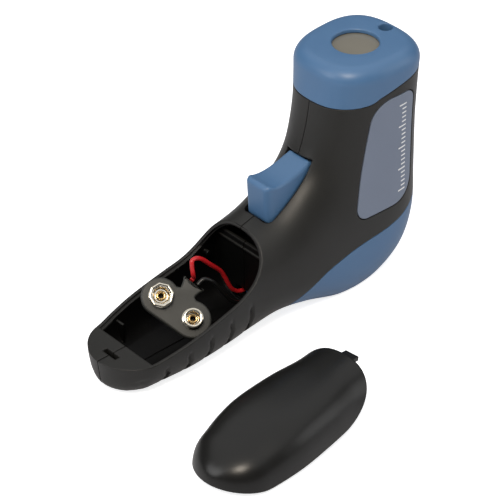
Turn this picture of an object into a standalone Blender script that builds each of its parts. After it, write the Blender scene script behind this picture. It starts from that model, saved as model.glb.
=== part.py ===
"""Handheld optical tachometer, pistol form, lying on its display side.

The frame is in metres with +Z up. The origin is on the flat bezel face that
the instrument lies on, +Z runs out through the nose window, +X runs to the
top of the barrel, and -Y is the side with the inlaid panel. The battery
cover is off and lies beside the instrument.
"""
import bpy
import bmesh
import numpy as np
from math import atan2, cos, pi, radians, sin
from mathutils import Matrix, Vector

MM = 0.001

# Driving sizes of the moulded skin
NOSE_X = 24.0 * MM
NOSE_HEIGHT = 87.0 * MM
NOSE_ROUND = 5.0 * MM
HEAD_FRONT_X = 4.1 * MM
HEAD_BACK_X = 43.8 * MM
HEAD_HALF_WIDTH = 18.7 * MM
HANDLE_HALF_WIDTH = 16.8 * MM
HANDLE_END_X = -78.4 * MM
NOSE_SHOULDER = 5.5 * MM
BUTT_ROUND = 14.4 * MM
BUTT_DEPTH_ROUND = 8.0 * MM
BUTT_RISE = 12.0 * MM
WALL = 2.0 * MM
SEAT_WALL = 3.0 * MM
LIP_DEPTH = 2.5 * MM
DOOR_LIP_DEPTH = 1.2 * MM
GAP = 0.3 * MM
SPLIT = 0.15 * MM
RING_POINTS = 26
STEPS_PER_SECTION = 2
END_STEPS = 4

# Seams between the mouldings
CAP_SEAM_FRONT_Z = NOSE_HEIGHT - 14.4 * MM
CAP_SEAM_BACK_Z = NOSE_HEIGHT - 8.0 * MM
CAP_SEAM_BEND = ((0.13, 0.1), (0.39, 0.45), (0.69, 0.85))
BEZEL_SEAM = ((80.0, 32.0), (44.0, 30.0), (36.0, 26.6), (30.0, 23.6), (22.0, 21.8), (8.0, 20.0),
              (-4.0, 17.0), (-11.5, 13.0), (-16.5, 9.2), (-19.6, 5.4), (-21.0, 0.5), (-21.0, -10.0))
DOOR_SEAM_Z = 13.5 * MM
DOOR_SEAM_RISE = 11.14 * MM
DOOR_SEAM_START_X = -78.0 * MM
DOOR_SEAM_END_X = -27.4 * MM
DOOR_SEAM_BLEND = 20.0 * MM
DOOR_ARCH_R = 21.0 * MM
DOOR_ARCH_STEPS = 8
DOOR_NOTCH_X = -27.6 * MM
DOOR_NOTCH_Z = 44.0 * MM
RIM_STEP = 0.9 * MM
RIM_THICK = 1.1 * MM

# Battery bay and butt
BAY_START_X = -79.0 * MM
BAY_END_X = -26.8 * MM
BULKHEAD = 1.2 * MM
BAY_FLOOR_Z = 3.5 * MM
LEDGE_THICK = 2.2 * MM
SLOT_X = -85.0 * MM
SLOT_LENGTH = 6.6 * MM
SLOT_WIDTH = 2.0 * MM
STOP_RIB_REACH = 3.0 * MM
STOP_RIB_THICK = 1.2 * MM
STOP_RIB_Y = 10.0 * MM
BULKHEAD_TOP_Z = 29.6 * MM
LEAD_HOLE_HALF_Y = 4.5 * MM
LEAD_HOLE_Z = 5.2 * MM
LEAD_HOLE_HEIGHT = 5.0 * MM
GRIP_GROOVES = 6
GRIP_PITCH = 9.0 * MM
GRIP_START_X = -83.4 * MM
GRIP_WIDTH = 1.3 * MM
GRIP_DEPTH = 0.8 * MM
GRIP_TOP_Z = 9.0 * MM
GRIP_RISE = 0.185
GRIP_LEAN = 1.6 * MM
GRIP_SWAY = ((0.0, 0.0), (0.35, 0.8), (0.7, 0.3), (1.0, 1.0))

# Nose optics
WINDOW_BORE_R = 8.0 * MM
WINDOW_R = 9.4 * MM
WINDOW_THICK = 1.5 * MM
WINDOW_RECESS = 1.7 * MM
TUBE_R = 7.0 * MM
TUBE_BORE_R = 5.9 * MM
TUBE_STOP_R = 4.8 * MM
TUBE_FLANGE_R = 9.2 * MM
TUBE_FLANGE_THICK = 1.0 * MM
LENS_R = 5.6 * MM
LENS_EDGE = 2.0 * MM
LENS_BULGE = 1.0 * MM
LENS_DEPTH = 5.0 * MM
LASER_OFFSET_X = 14.0 * MM
LASER_HOLE_R = 2.4 * MM
LASER_R = 2.2 * MM
LASER_LENGTH = 20.0 * MM
LASER_APERTURE_R = 1.2 * MM
SENSOR_BOARD_Z = NOSE_HEIGHT - 30.6 * MM
SENSOR_BOARD_THICK = 1.6 * MM
SENSOR_BOARD_X = (7.0 * MM, 39.6 * MM)
SENSOR_BOARD_HALF_Y = 8.0 * MM
SENSOR_R = 2.7 * MM
SENSOR_CAN_R = 2.3 * MM
SENSOR_LENS_R = 1.6 * MM
SENSOR_FLANGE_THICK = 0.6 * MM
SENSOR_HEIGHT = 4.2 * MM
SHELF_HEIGHT = 5.0 * MM
SHELF_X = (12.0 * MM, 33.0 * MM)
SHELF_THICK = 2.0 * MM
SHELF_OVERLAP = 1.6 * MM

# Display side
DISPLAY_X = 10.2 * MM
DISPLAY_LENGTH = 16.0 * MM
DISPLAY_HALF_WIDTH = 10.4 * MM
DISPLAY_LAND = 1.2 * MM
DISPLAY_PANEL_THICK = 0.8 * MM
DISPLAY_PANEL_SET = 0.2 * MM
DISPLAY_PANEL_BEVEL = 0.2 * MM
DISPLAY_CUT_HEIGHT = 6.0 * MM
LCD_LENGTH = 18.4 * MM
LCD_HALF_WIDTH = 9.5 * MM
LCD_THICK = 2.8 * MM
ZEBRA_HEIGHT = 1.9 * MM
ZEBRA_WIDTH = 2.2 * MM
ZEBRA_LENGTH = 19.0 * MM
BOARD_THICK = 1.6 * MM
BOARD_X = (-13.0 * MM, 30.4 * MM)
BOARD_HALF_Y = 10.8 * MM
POST_R = 1.8 * MM
POST_INSET = 2.6 * MM
CHIP_SIZE = 9.0 * MM
CHIP_HEIGHT = 1.4 * MM
CHIP_X = 2.0 * MM
RIBBON_X = 27.6 * MM
RIBBON_HALF_WIDTH = 4.0 * MM
RIBBON_THICK = 0.6 * MM
RIBBON_SWAY = 2.0 * MM
RIBBON_STEPS = 8

# Memory button
BUTTON_X = -9.5 * MM
BUTTON_R = 3.2 * MM
BUTTON_FLANGE_R = 4.4 * MM
BUTTON_FLANGE_THICK = 0.7 * MM
BUTTON_SET = 1.4 * MM
BUTTON_CHAMFER = 0.4 * MM
BUTTON_TRAVEL = 0.5 * MM
SWITCH_SIZE = 6.0 * MM
SWITCH_PLUNGER_R = 1.7 * MM
SWITCH_PLUNGER_HEIGHT = 0.5 * MM
SWITCH_HEIGHT = 2.6 * MM

# Trigger
TRIGGER_HALF_WIDTH = 5.9 * MM
TRIGGER_ROOT_HALF_WIDTH = 5.3 * MM
TRIGGER_TIP = (-21.4 * MM, 51.5 * MM)
TRIGGER_ROOT = (-1.6 * MM, 53.0 * MM)
TRIGGER_HOLLOW = 2.0 * MM
TRIGGER_TOE = (-20.7 * MM, 36.6 * MM)
TRIGGER_HEEL = (-16.4 * MM, 34.6 * MM)
TRIGGER_PIVOT = (3.0 * MM, 48.0 * MM)
TRIGGER_BOSS_R = 3.2 * MM
TRIGGER_EDGE_ROUND = 1.4 * MM
TRIGGER_FRONT_R = 2.6 * MM
TRIGGER_FRONT_DEPTH = 9.0 * MM
TRIGGER_TIP_R = 1.5 * MM
TRIGGER_FACE_BIAS = 0.8
TRIGGER_FACE_STEPS = 8
TRIGGER_BOSS_STEPS = 8
TRIGGER_BOSS_ARC = (110.0, -90.0)
TRIGGER_SLOT_GAP = 0.6 * MM
TRIGGER_SLOT_STEPS = 5
TRIGGER_SLOT_TOP_Z = 53.9 * MM
TRIGGER_SLOT_FOOT_Z = 33.0 * MM
TRIGGER_CLEAR = 0.8 * MM
PIN_R = 1.2 * MM
PIN_HALF_LENGTH = 10.4 * MM
PIN_BOSS_R = 2.6 * MM
SPRING_X = -9.0 * MM
SPRING_R = 2.6 * MM
SPRING_WIRE_R = 0.3 * MM
SPRING_TURNS = 5
SPRING_TURN_POINTS = 8
SPRING_SEAT_Z = 38.9 * MM
SPRING_SEAT_HALF_X = 3.0 * MM
DECK_Z = 24.0 * MM
DECK_THICK = 2.0 * MM
DECK_X = (-22.0 * MM, -5.0 * MM)
MICROSWITCH_X = -17.6 * MM
MICROSWITCH_HALF_Y = 6.4 * MM
MICROSWITCH_HALF_X = 2.9 * MM
MICROSWITCH_HEIGHT = 6.2 * MM
MICROSWITCH_PLUNGER_R = 1.0 * MM
MICROSWITCH_PLUNGER_HEIGHT = 0.8 * MM

# Inlaid panel on the -Y side
PANEL_DEPTH = 0.6 * MM
PANEL_GAP = 0.45 * MM
PANEL_TOP_Z = NOSE_HEIGHT - 13.8 * MM
PANEL_FOOT_Z = 30.2 * MM
PANEL_CORNERS = ((16.6 * MM, PANEL_TOP_Z), (34.4 * MM, PANEL_TOP_Z), (33.6 * MM, PANEL_FOOT_Z),
                 (8.0 * MM, PANEL_FOOT_Z))
PANEL_RADII = (8.5 * MM, 4.5 * MM, 9.0 * MM, 4.0 * MM)

# Housing screws, all driven from the +Y side
SCREW_PLACES = ((37.0 * MM, 36.5 * MM), (10.0 * MM, NOSE_HEIGHT - 22.0 * MM),
                (-22.0 * MM, 17.4 * MM), (-84.2 * MM, 6.6 * MM))
SCREW_SHANK_R = 1.2 * MM
SCREW_HEAD_R = 2.5 * MM
SCREW_HEAD_THICK = 1.7 * MM
SCREW_SEAT_Y = 6.0 * MM
SCREW_DEPTH = 8.0 * MM
SCREW_HEAD_CHAMFER = 0.6 * MM
SCREW_POINT = 1.0 * MM
BOSS_R = 3.9 * MM
PILOT_BOSS_R = 2.8 * MM

# Battery cover lying beside the instrument
DOOR_REST_X = -29.9 * MM
DOOR_REST_Y = -53.0 * MM
DOOR_YAW = radians(7.0)
DOOR_TIP = radians(-2.9)
TAB_LENGTH = 3.6 * MM
TAB_ROOT = 4.0 * MM
TAB_HALF_WIDTH = 3.2 * MM
TAB_THICK = 1.4 * MM
TAB_TOP_Z = 34.6 * MM

# Battery snap connector, tilted in the bay: its long way runs from the
# socket down to the stud, and its tail way runs up to the leads
SNAP_PITCH = 12.95 * MM
SNAP_BODY_R = 6.4 * MM
SNAP_BODY_THICK = 3.0 * MM
SNAP_EDGE_ROUND = 0.7 * MM
SNAP_NECK = (2.9 * MM, 6.4 * MM)
SNAP_EAR_HALF = 4.1 * MM
SNAP_EAR_DIP = 0.7 * MM
SNAP_LOBE_ARC = (-90.0, 112.0)
SNAP_LOBE_STEPS = 13
SNAP_CENTRE = (-57.2 * MM, -0.2 * MM, 17.6 * MM)
SNAP_LONG_WAY = (0.375, -0.79, -0.485)
SNAP_TAIL_WAY = (0.80, 0.20, 0.57)
SNAP_TAIL_LENGTH = 10.4 * MM
SOCKET_R = 4.1 * MM
SOCKET_BORE_R = 2.2 * MM
SOCKET_HEIGHT = 2.6 * MM
STUD_R = 3.6 * MM
STUD_BORE_R = 1.7 * MM
STUD_HEIGHT = 2.4 * MM
SNAP_RIM = 0.5 * MM
LEAD_R = 0.75 * MM
LEAD_SPREAD = 1.3 * MM
LEAD_AHEAD = 1.2 * MM
LEAD_POINT_SPACING = 2.6 * MM
RED_ROUTE = ((-47.3, 2.0, 26.8), (-47.1, 2.1, 29.2), (-46.2, 2.2, 31.1), (-44.5, 2.2, 31.2),
             (-42.6, 2.0, 29.2), (-40.6, 1.9, 26.9), (-38.4, 1.8, 24.4), (-36.2, 1.7, 21.7),
             (-34.2, 1.6, 18.4), (-32.4, 1.6, 14.4), (-30.4, 1.9, 10.8), (-27.2, 2.2, 8.3),
             (-23.4, 2.4, 8.0), (-19.5, 2.6, 9.8), (-15.8, 2.8, 11.3), (-12.0, 3.0, 11.4),
             (-9.0, 3.0, 11.4))
BLACK_ROUTE = ((-44.6, -0.6, 23.6), (-42.0, -1.9, 21.6), (-39.7, -3.2, 17.6), (-37.0, -3.8, 13.2),
               (-33.6, -3.6, 10.0), (-30.0, -3.0, 8.4), (-27.0, -2.6, 7.9), (-23.4, -2.5, 8.0),
               (-19.5, -2.6, 9.8), (-15.8, -2.8, 11.3), (-12.0, -3.0, 11.4), (-9.0, -3.0, 11.4))

# Each row is one section of the skin, from the butt to the nose: front edge
# x, z and back edge x, z in mm, half width in mm, squareness and flare
BACK_FLAT = -4.6
THROAT_Z = 50.8
SPINE_Z = 4.0
HEAD_TOP_Z = (NOSE_HEIGHT - NOSE_SHOULDER) / MM
HANDLE_WIDE = HANDLE_HALF_WIDTH / MM
HEAD_WIDE = HEAD_HALF_WIDTH / MM


def up_front(share):
    return THROAT_Z + share * (HEAD_TOP_Z - THROAT_Z)


def up_back(share):
    return SPINE_Z + share * (HEAD_TOP_Z - SPINE_Z)


SECTIONS = (
    (HANDLE_END_X / MM - 1.4, 25.4, HANDLE_END_X / MM + 1.0, 0.0, HANDLE_WIDE - 2.05, 2.7, -0.01),
    (-71.0, 28.8, -69.5, 0.0, HANDLE_WIDE - 0.7, 2.8, -0.03),
    (-62.0, 31.2, -61.0, 0.0, HANDLE_WIDE, 2.9, -0.03),
    (-48.0, 33.6, -47.0, 0.4, HANDLE_WIDE - 0.2, 2.8, -0.02),
    (-36.0, 35.4, -34.0, 1.2, HANDLE_WIDE - 0.7, 2.5, 0.02),
    (-27.0, 37.0, -22.0, 2.2, HANDLE_WIDE - 0.2, 2.4, 0.05),
    (-20.0, 39.0, -9.0, 0.2, HANDLE_WIDE + 0.9, 2.4, 0.08),
    (-14.0, 42.2, 8.0, BACK_FLAT, HEAD_WIDE - 0.1, 2.5, 0.08),
    (-8.4, 46.4, 24.0, BACK_FLAT + 0.6, HEAD_WIDE, 2.5, 0.08),
    (-4.0, THROAT_Z, 37.0, SPINE_Z, HEAD_WIDE + 0.1, 2.5, 0.08),
    (-1.1, up_front(0.1694), 42.8, up_back(0.1806), HEAD_WIDE - 0.1, 2.5, 0.09),
    (1.1, up_front(0.3811), 43.2, up_back(0.4258), HEAD_WIDE - 0.4, 2.5, 0.08),
    (2.6, up_front(0.6091), 43.3, up_back(0.6839), HEAD_WIDE - 0.5, 2.5, 0.07),
    (3.6, up_front(0.8371), 43.6, up_back(0.8903), HEAD_WIDE - 0.2, 2.6, 0.06),
    (HEAD_FRONT_X / MM, HEAD_TOP_Z, HEAD_BACK_X / MM, HEAD_TOP_Z, HEAD_WIDE, 2.7, 0.06),
)

# Reach of the cutting shapes past the skin on either side
HALF = 40.0 * MM

# Colour, roughness and metallic value of each material
MATERIALS = {
    "dark_abs": ("#323232", 0.55, 0.0),
    "blue_abs": ("#5a78a5", 0.45, 0.0),
    "panel_grey": ("#73788a", 0.5, 0.0),
    "black_plastic": ("#1c1c1c", 0.5, 0.0),
    "smoked_glass": ("#8a8880", 0.15, 0.0),
    "lcd_glass": ("#8f9a86", 0.2, 0.0),
    "brass": ("#b08d48", 0.3, 1.0),
    "nickel": ("#c9c4ba", 0.25, 1.0),
    "steel": ("#9a9c9e", 0.35, 1.0),
    "board_green": ("#1f5a38", 0.5, 0.0),
    "red_pvc": ("#c83237", 0.4, 0.0),
    "black_pvc": ("#151515", 0.45, 0.0),
    "snap_vinyl": ("#2a2a28", 0.6, 0.0),
}


def clear_scene():
    for obj in list(bpy.data.objects):
        bpy.data.objects.remove(obj, do_unlink=True)


def new_collection(name):
    collection = bpy.data.collections.new(name)
    bpy.context.scene.collection.children.link(collection)
    return collection


def linear(channel):
    return channel / 12.92 if channel <= 0.04045 else ((channel + 0.055) / 1.055) ** 2.4


def material(name):
    if name in bpy.data.materials:
        return bpy.data.materials[name]
    code, roughness, metallic = MATERIALS[name]
    rgb = [linear(int(code[i:i + 2], 16) / 255) for i in (1, 3, 5)]
    made = bpy.data.materials.new(name)
    made.use_nodes = True
    shader = made.node_tree.nodes["Principled BSDF"]
    shader.inputs["Base Color"].default_value = (*rgb, 1.0)
    shader.inputs["Roughness"].default_value = roughness
    shader.inputs["Metallic"].default_value = metallic
    made.diffuse_color = (*rgb, 1.0)
    return made


def mesh_object(name, bm, look=None, smooth_angle=None):
    """Turn a bmesh into an object; without a look it is a hidden cutter."""
    bmesh.ops.recalc_face_normals(bm, faces=bm.faces)
    mesh = bpy.data.meshes.new(name)
    bm.to_mesh(mesh)
    bm.free()
    if smooth_angle is not None:
        mesh.shade_smooth()
        mesh.set_sharp_from_angle(angle=radians(smooth_angle))
    obj = bpy.data.objects.new(name, mesh)
    if look is None:
        CUTTERS.objects.link(obj)
        obj.hide_render = True
        obj.display_type = "WIRE"
    else:
        mesh.materials.append(material(look))
        PARTS.objects.link(obj)
    return obj


def boolean(obj, operation, cutter):
    modifier = obj.modifiers.new(operation.title(), "BOOLEAN")
    modifier.operation = operation
    modifier.solver = "EXACT"
    modifier.object = cutter
    return obj


def cut(obj, *cutters):
    for cutter in cutters:
        boolean(obj, "DIFFERENCE", cutter)
    return obj


def keep(obj, other):
    return boolean(obj, "INTERSECT", other)


def join(obj, *others):
    for other in others:
        boolean(obj, "UNION", other)
    return obj


def bevel(obj, width, segments=2, angle=40):
    modifier = obj.modifiers.new("Bevel", "BEVEL")
    modifier.width = width
    modifier.segments = segments
    modifier.limit_method = "ANGLE"
    modifier.angle_limit = radians(angle)
    modifier.use_clamp_overlap = True
    return obj


def add_box(bm, low, high):
    size = Vector(high) - Vector(low)
    centre = (Vector(high) + Vector(low)) / 2
    place = Matrix.Translation(centre) @ Matrix.Diagonal((*size, 1.0))
    bmesh.ops.create_cube(bm, size=1.0, matrix=place)


def box(name, low, high, look=None):
    bm = bmesh.new()
    add_box(bm, low, high)
    return mesh_object(name, bm, look)


def axis_matrix(start, end):
    run = Vector(end) - Vector(start)
    turn = Vector((0, 0, 1)).rotation_difference(run).to_matrix().to_4x4()
    return Matrix.Translation((Vector(start) + Vector(end)) / 2) @ turn, run.length


def add_cylinder(bm, start, end, radius, segments=24):
    place, length = axis_matrix(start, end)
    bmesh.ops.create_cone(bm, cap_ends=True, segments=segments, radius1=radius,
                          radius2=radius, depth=length, matrix=place)


def cylinder(name, start, end, radius, look=None, segments=24):
    bm = bmesh.new()
    add_cylinder(bm, start, end, radius, segments)
    return mesh_object(name, bm, look, 40)


def turned(name, profile, look=None, steps=24, place=(0, 0, 0)):
    """Revolve radius, height pairs, outer side from top to bottom, about Z."""
    bm = bmesh.new()
    verts = [bm.verts.new((r, 0, z)) for r, z in profile]
    for a, b in zip(verts, verts[1:]):
        bm.edges.new((a, b))
    if profile[0][0] > 0:
        bm.edges.new((verts[-1], verts[0]))
    mesh = bpy.data.meshes.new(name)
    bm.to_mesh(mesh)
    bm.free()
    obj = bpy.data.objects.new(name, mesh)
    obj.location = place
    screw = obj.modifiers.new("Screw", "SCREW")
    screw.steps = steps
    screw.render_steps = steps
    screw.use_merge_vertices = True
    screw.merge_threshold = 0.00001
    if look is None:
        CUTTERS.objects.link(obj)
        obj.hide_render = True
        obj.display_type = "WIRE"
    else:
        mesh.materials.append(material(look))
        PARTS.objects.link(obj)
    return obj


def prism(name, outline, y_low, y_high, look=None):
    """Extrude a side-view outline of x, z pairs along Y."""
    bm = bmesh.new()
    add_prism(bm, outline, y_low, y_high)
    return mesh_object(name, bm, look)


def add_prism(bm, outline, y_low, y_high):
    face = bm.faces.new([bm.verts.new((x, y_low, z)) for x, z in outline])
    grown = bmesh.ops.extrude_face_region(bm, geom=[face])
    moved = [item for item in grown["geom"] if isinstance(item, bmesh.types.BMVert)]
    bmesh.ops.translate(bm, vec=(0, y_high - y_low, 0), verts=moved)


def add_upright(bm, outline, low, high):
    """Extrude a top-view outline of x, y pairs along Z."""
    add_rings(bm, [[(x, y, z) for x, y in outline] for z in (low, high)])


def rounded(corners, radii, steps=5):
    """Round each corner of a closed outline with an arc of its own radius."""
    points = []
    count = len(corners)
    for i, (corner, radius) in enumerate(zip(corners, radii)):
        if radius == 0:
            points.append(corner)
            continue
        here = Vector(corner)
        back = (Vector(corners[i - 1]) - here).normalized()
        ahead = (Vector(corners[(i + 1) % count]) - here).normalized()
        half = back.angle(ahead) / 2
        centre = here + (back + ahead).normalized() * radius / sin(half)
        start = here + back * radius / np.tan(half) - centre
        end = here + ahead * radius / np.tan(half) - centre
        sweep = start.angle_signed(end)
        for k in range(steps + 1):
            turn = -sweep * k / steps
            points.append((centre.x + start.x * cos(turn) - start.y * sin(turn),
                           centre.y + start.x * sin(turn) + start.y * cos(turn)))
    return points


def grow(outline, distance):
    """Offset a closed outline outward by mitring its edges."""
    points = [Vector(p) for p in outline]
    area = sum(a.x * b.y - b.x * a.y for a, b in zip(points, points[1:] + points[:1]))
    side = 1.0 if area > 0 else -1.0
    grown = []
    for i, here in enumerate(points):
        before = (here - points[i - 1]).normalized()
        after = (points[(i + 1) % len(points)] - here).normalized()
        out_a = Vector((before.y, -before.x)) * side
        out_b = Vector((after.y, -after.x)) * side
        mitre = (out_a + out_b).normalized()
        grown.append(tuple(here + mitre * distance / max(mitre.dot(out_a), 0.3)))
    return grown


def smooth_rows(rows, per_span):
    """Pass a Catmull-Rom curve through the section rows."""
    rows = np.array(rows, float)
    padded = np.vstack([2 * rows[0] - rows[1], rows, 2 * rows[-1] - rows[-2]])
    made = []
    for i in range(len(rows) - 1):
        p0, p1, p2, p3 = padded[i:i + 4]
        for t in np.arange(per_span) / per_span:
            made.append(0.5 * (2 * p1 + (p2 - p0) * t + (2 * p0 - 5 * p1 + 4 * p2 - p3) * t ** 2
                               + (3 * p1 - p0 - 3 * p2 + p3) * t ** 3))
    made.append(rows[-1])
    return np.array(made)


def section_frame(row):
    front = np.array(row[0:2]) * MM
    back = np.array(row[2:4]) * MM
    depth = np.linalg.norm(back - front)
    return (front + back) / 2, (back - front) / depth, depth / 2


def skin_rings(inset):
    """Rings of points on the skin moved inward by inset, from butt to nose."""
    rows = smooth_rows(SECTIONS, STEPS_PER_SECTION)
    rings = []
    for row in rows:
        centre, across, half_depth = section_frame(row)
        rings.append((centre, across, half_depth - inset, row[4] * MM - inset, row[5], row[6]))
    butt_end = rounded_end(rings[0], -1.0, BUTT_ROUND - inset, BUTT_DEPTH_ROUND - inset,
                           BUTT_RISE - inset)
    nose_rise = NOSE_HEIGHT - rows[-1][1] * MM
    nose_end = rounded_end(rings[-1], 1.0, NOSE_ROUND - inset, NOSE_ROUND - inset,
                           nose_rise - inset)
    return [ring_points(*ring, inset) for ring in butt_end[::-1] + rings + nose_end]


def rounded_end(ring, sense, side_radius, depth_radius, rise):
    """Rings that round off an end, by its own radius across each way."""
    centre, across, half_depth, half_width, square, flare = ring
    outward = sense * np.array([-across[1], across[0]])
    made = []
    for k in range(1, END_STEPS + 1):
        angle = pi / 2 * k / END_STEPS
        inward = 1 - cos(angle)
        made.append((centre + outward * rise * sin(angle), across,
                     half_depth - depth_radius * inward, half_width - side_radius * inward,
                     square, flare))
    return made


def ring_points(centre, across, half_depth, half_width, square, flare, floor):
    turn = np.linspace(0, 2 * pi, RING_POINTS, endpoint=False)
    along = np.sign(np.cos(turn)) * np.abs(np.cos(turn)) ** (2 / square)
    aside = np.sign(np.sin(turn)) * np.abs(np.sin(turn)) ** (2 / square)
    x = centre[0] + across[0] * half_depth * along
    z = centre[1] + across[1] * half_depth * along
    y = half_width * (1 + flare * along) * aside
    return np.stack([x, y, np.maximum(z, floor)], axis=1)


def add_rings(bm, rings):
    """Join rings of as many points each into a solid with a face at both ends."""
    rows = [[bm.verts.new(point) for point in ring] for ring in rings]
    count = len(rows[0])
    for low, high in zip(rows, rows[1:]):
        for i in range(count):
            j = (i + 1) % count
            bm.faces.new((low[i], low[j], high[j], high[i]))
    bm.faces.new(rows[0][::-1])
    bm.faces.new(rows[-1])


def skin(name, inset):
    """Closed solid bounded by the skin moved inward by inset."""
    bm = bmesh.new()
    add_rings(bm, skin_rings(inset))
    return mesh_object(name, bm)


def cap_seam(shift):
    """Side view of the seam under the nose cap, rising from front to back."""
    front = CAP_SEAM_FRONT_Z + shift
    depth = HEAD_BACK_X - HEAD_FRONT_X
    rise = CAP_SEAM_BACK_Z - CAP_SEAM_FRONT_Z
    bend = [(HEAD_FRONT_X + share * depth, front + lift * rise) for share, lift in CAP_SEAM_BEND]
    return [(-HALF, front), *bend, (HEAD_BACK_X, front + rise), (2 * HALF, front + rise)]


def cap_zone(shift, top=3 * HALF):
    return cap_seam(shift) + [(2 * HALF, top), (-HALF, top)]


def bezel_zone(shift):
    outline = [(x * MM, z * MM) for x, z in BEZEL_SEAM] + [(2 * HALF, -HALF / 4)]
    return grow(outline, shift)


def door_zone(shift):
    corners = [(-3 * HALF, DOOR_SEAM_Z), (DOOR_SEAM_START_X, DOOR_SEAM_Z),
               (DOOR_SEAM_END_X, DOOR_SEAM_Z + DOOR_SEAM_RISE), (DOOR_NOTCH_X, DOOR_NOTCH_Z),
               (DOOR_NOTCH_X, 2 * HALF), (-3 * HALF, 2 * HALF)]
    radii = [0, DOOR_SEAM_BLEND, DOOR_ARCH_R, 0, 0, 0]
    return grow(rounded(corners, radii, DOOR_ARCH_STEPS), shift)


def panel_outline(shift):
    return grow(rounded(PANEL_CORNERS, PANEL_RADII), shift)


def build_skins():
    return {
        "outer": skin("skin_outer", 0.0),
        "middle": skin("skin_middle", WALL / 2),
        "inner": skin("skin_inner", WALL),
        "lip": skin("skin_lip", WALL + GAP),
        "seat": skin("skin_seat", SEAT_WALL),
    }


def build_cavities(skins):
    """Head space, battery bay and butt space inside the housing."""
    bulkhead_end = BAY_END_X + BULKHEAD
    outline = [(BAY_START_X, BAY_FLOOR_Z), (BAY_END_X, BAY_FLOOR_Z), (BAY_END_X, BULKHEAD_TOP_Z),
               (bulkhead_end, BULKHEAD_TOP_Z), (bulkhead_end, -HALF), (2 * HALF, -HALF),
               (2 * HALF, 4 * HALF), (BAY_START_X, 4 * HALF)]
    bm = bmesh.new()
    add_prism(bm, outline, -HALF, HALF)
    add_box(bm, (-3 * HALF, -HALF, -HALF),
            (BAY_START_X - WALL, HALF, DOOR_SEAM_Z - GAP - LEDGE_THICK))
    return keep(mesh_object("cavities", bm), skins["inner"])


def build_housing_blank(skins, cavities):
    bm = bmesh.new()
    add_prism(bm, cap_zone(-GAP), -HALF, HALF)
    add_prism(bm, bezel_zone(GAP), -HALF, HALF)
    add_prism(bm, door_zone(GAP), -HALF, HALF)
    zones = mesh_object("moulding_zones", bm)
    blank = skin("housing_blank", 0.0)
    rim = prism("rim_step", door_zone(GAP + RIM_STEP), -HALF, HALF)
    keep(rim, skin("rim_skin", RIM_THICK))
    cut(rim, box("rim_end", (-3 * HALF, -HALF, -HALF), (BAY_START_X, HALF, 3 * HALF)))
    return cut(blank, cavities, zones, rim)


def screw_point(place, y):
    return (place[0], y, place[1])


def build_ribs(name, side, skins):
    """Bosses, board shelves, deck and stop ribs of one half, cut to its wall."""
    bm = bmesh.new()
    edge = side * SPLIT
    wall = side * HALF
    for place in SCREW_PLACES:
        radius = BOSS_R if side > 0 else PILOT_BOSS_R
        add_cylinder(bm, screw_point(place, edge), screw_point(place, wall), radius, 20)
    add_cylinder(bm, pivot_point(side * (TRIGGER_HALF_WIDTH + TRIGGER_CLEAR)), pivot_point(wall),
                 PIN_BOSS_R, 20)
    for x in SHELF_X:
        for low in (SENSOR_BOARD_Z - GAP - SHELF_HEIGHT, SENSOR_BOARD_Z + SENSOR_BOARD_THICK + GAP):
            height = SHELF_HEIGHT if low < SENSOR_BOARD_Z else SHELF_THICK
            reach = side * (SENSOR_BOARD_HALF_Y - SHELF_OVERLAP)
            add_box(bm, *ordered((x, reach, low), (x + SHELF_THICK, wall, low + height)))
    add_box(bm, *ordered((DECK_X[0], edge, DECK_Z - DECK_THICK), (DECK_X[1], wall, DECK_Z)))
    rib_y = side * STOP_RIB_Y
    add_box(bm, *ordered((BAY_START_X - WALL / 2, rib_y, BAY_FLOOR_Z - WALL / 2),
                         (BAY_START_X + STOP_RIB_REACH, rib_y + side * STOP_RIB_THICK,
                          DOOR_SEAM_Z - LEDGE_THICK)))
    return keep(mesh_object(name, bm), skins["middle"])


def ordered(a, b):
    return tuple(map(min, a, b)), tuple(map(max, a, b))


def build_grooves():
    """Swaying grip grooves low on both sides of the handle."""
    bm = bmesh.new()
    for i in range(GRIP_GROOVES):
        x = GRIP_START_X + i * GRIP_PITCH
        top = GRIP_TOP_Z + GRIP_RISE * i * GRIP_PITCH
        near = [(x + sway * GRIP_LEAN, level * (top + MM) - MM) for level, sway in GRIP_SWAY]
        far = [(px + GRIP_WIDTH, pz) for px, pz in near[::-1]]
        for side in (-1, 1):
            add_prism(bm, near + far, *sorted((side * HANDLE_HALF_WIDTH / 3, side * HALF)))
    return cut(mesh_object("grip_grooves", bm), skin("skin_groove", GRIP_DEPTH))


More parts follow.
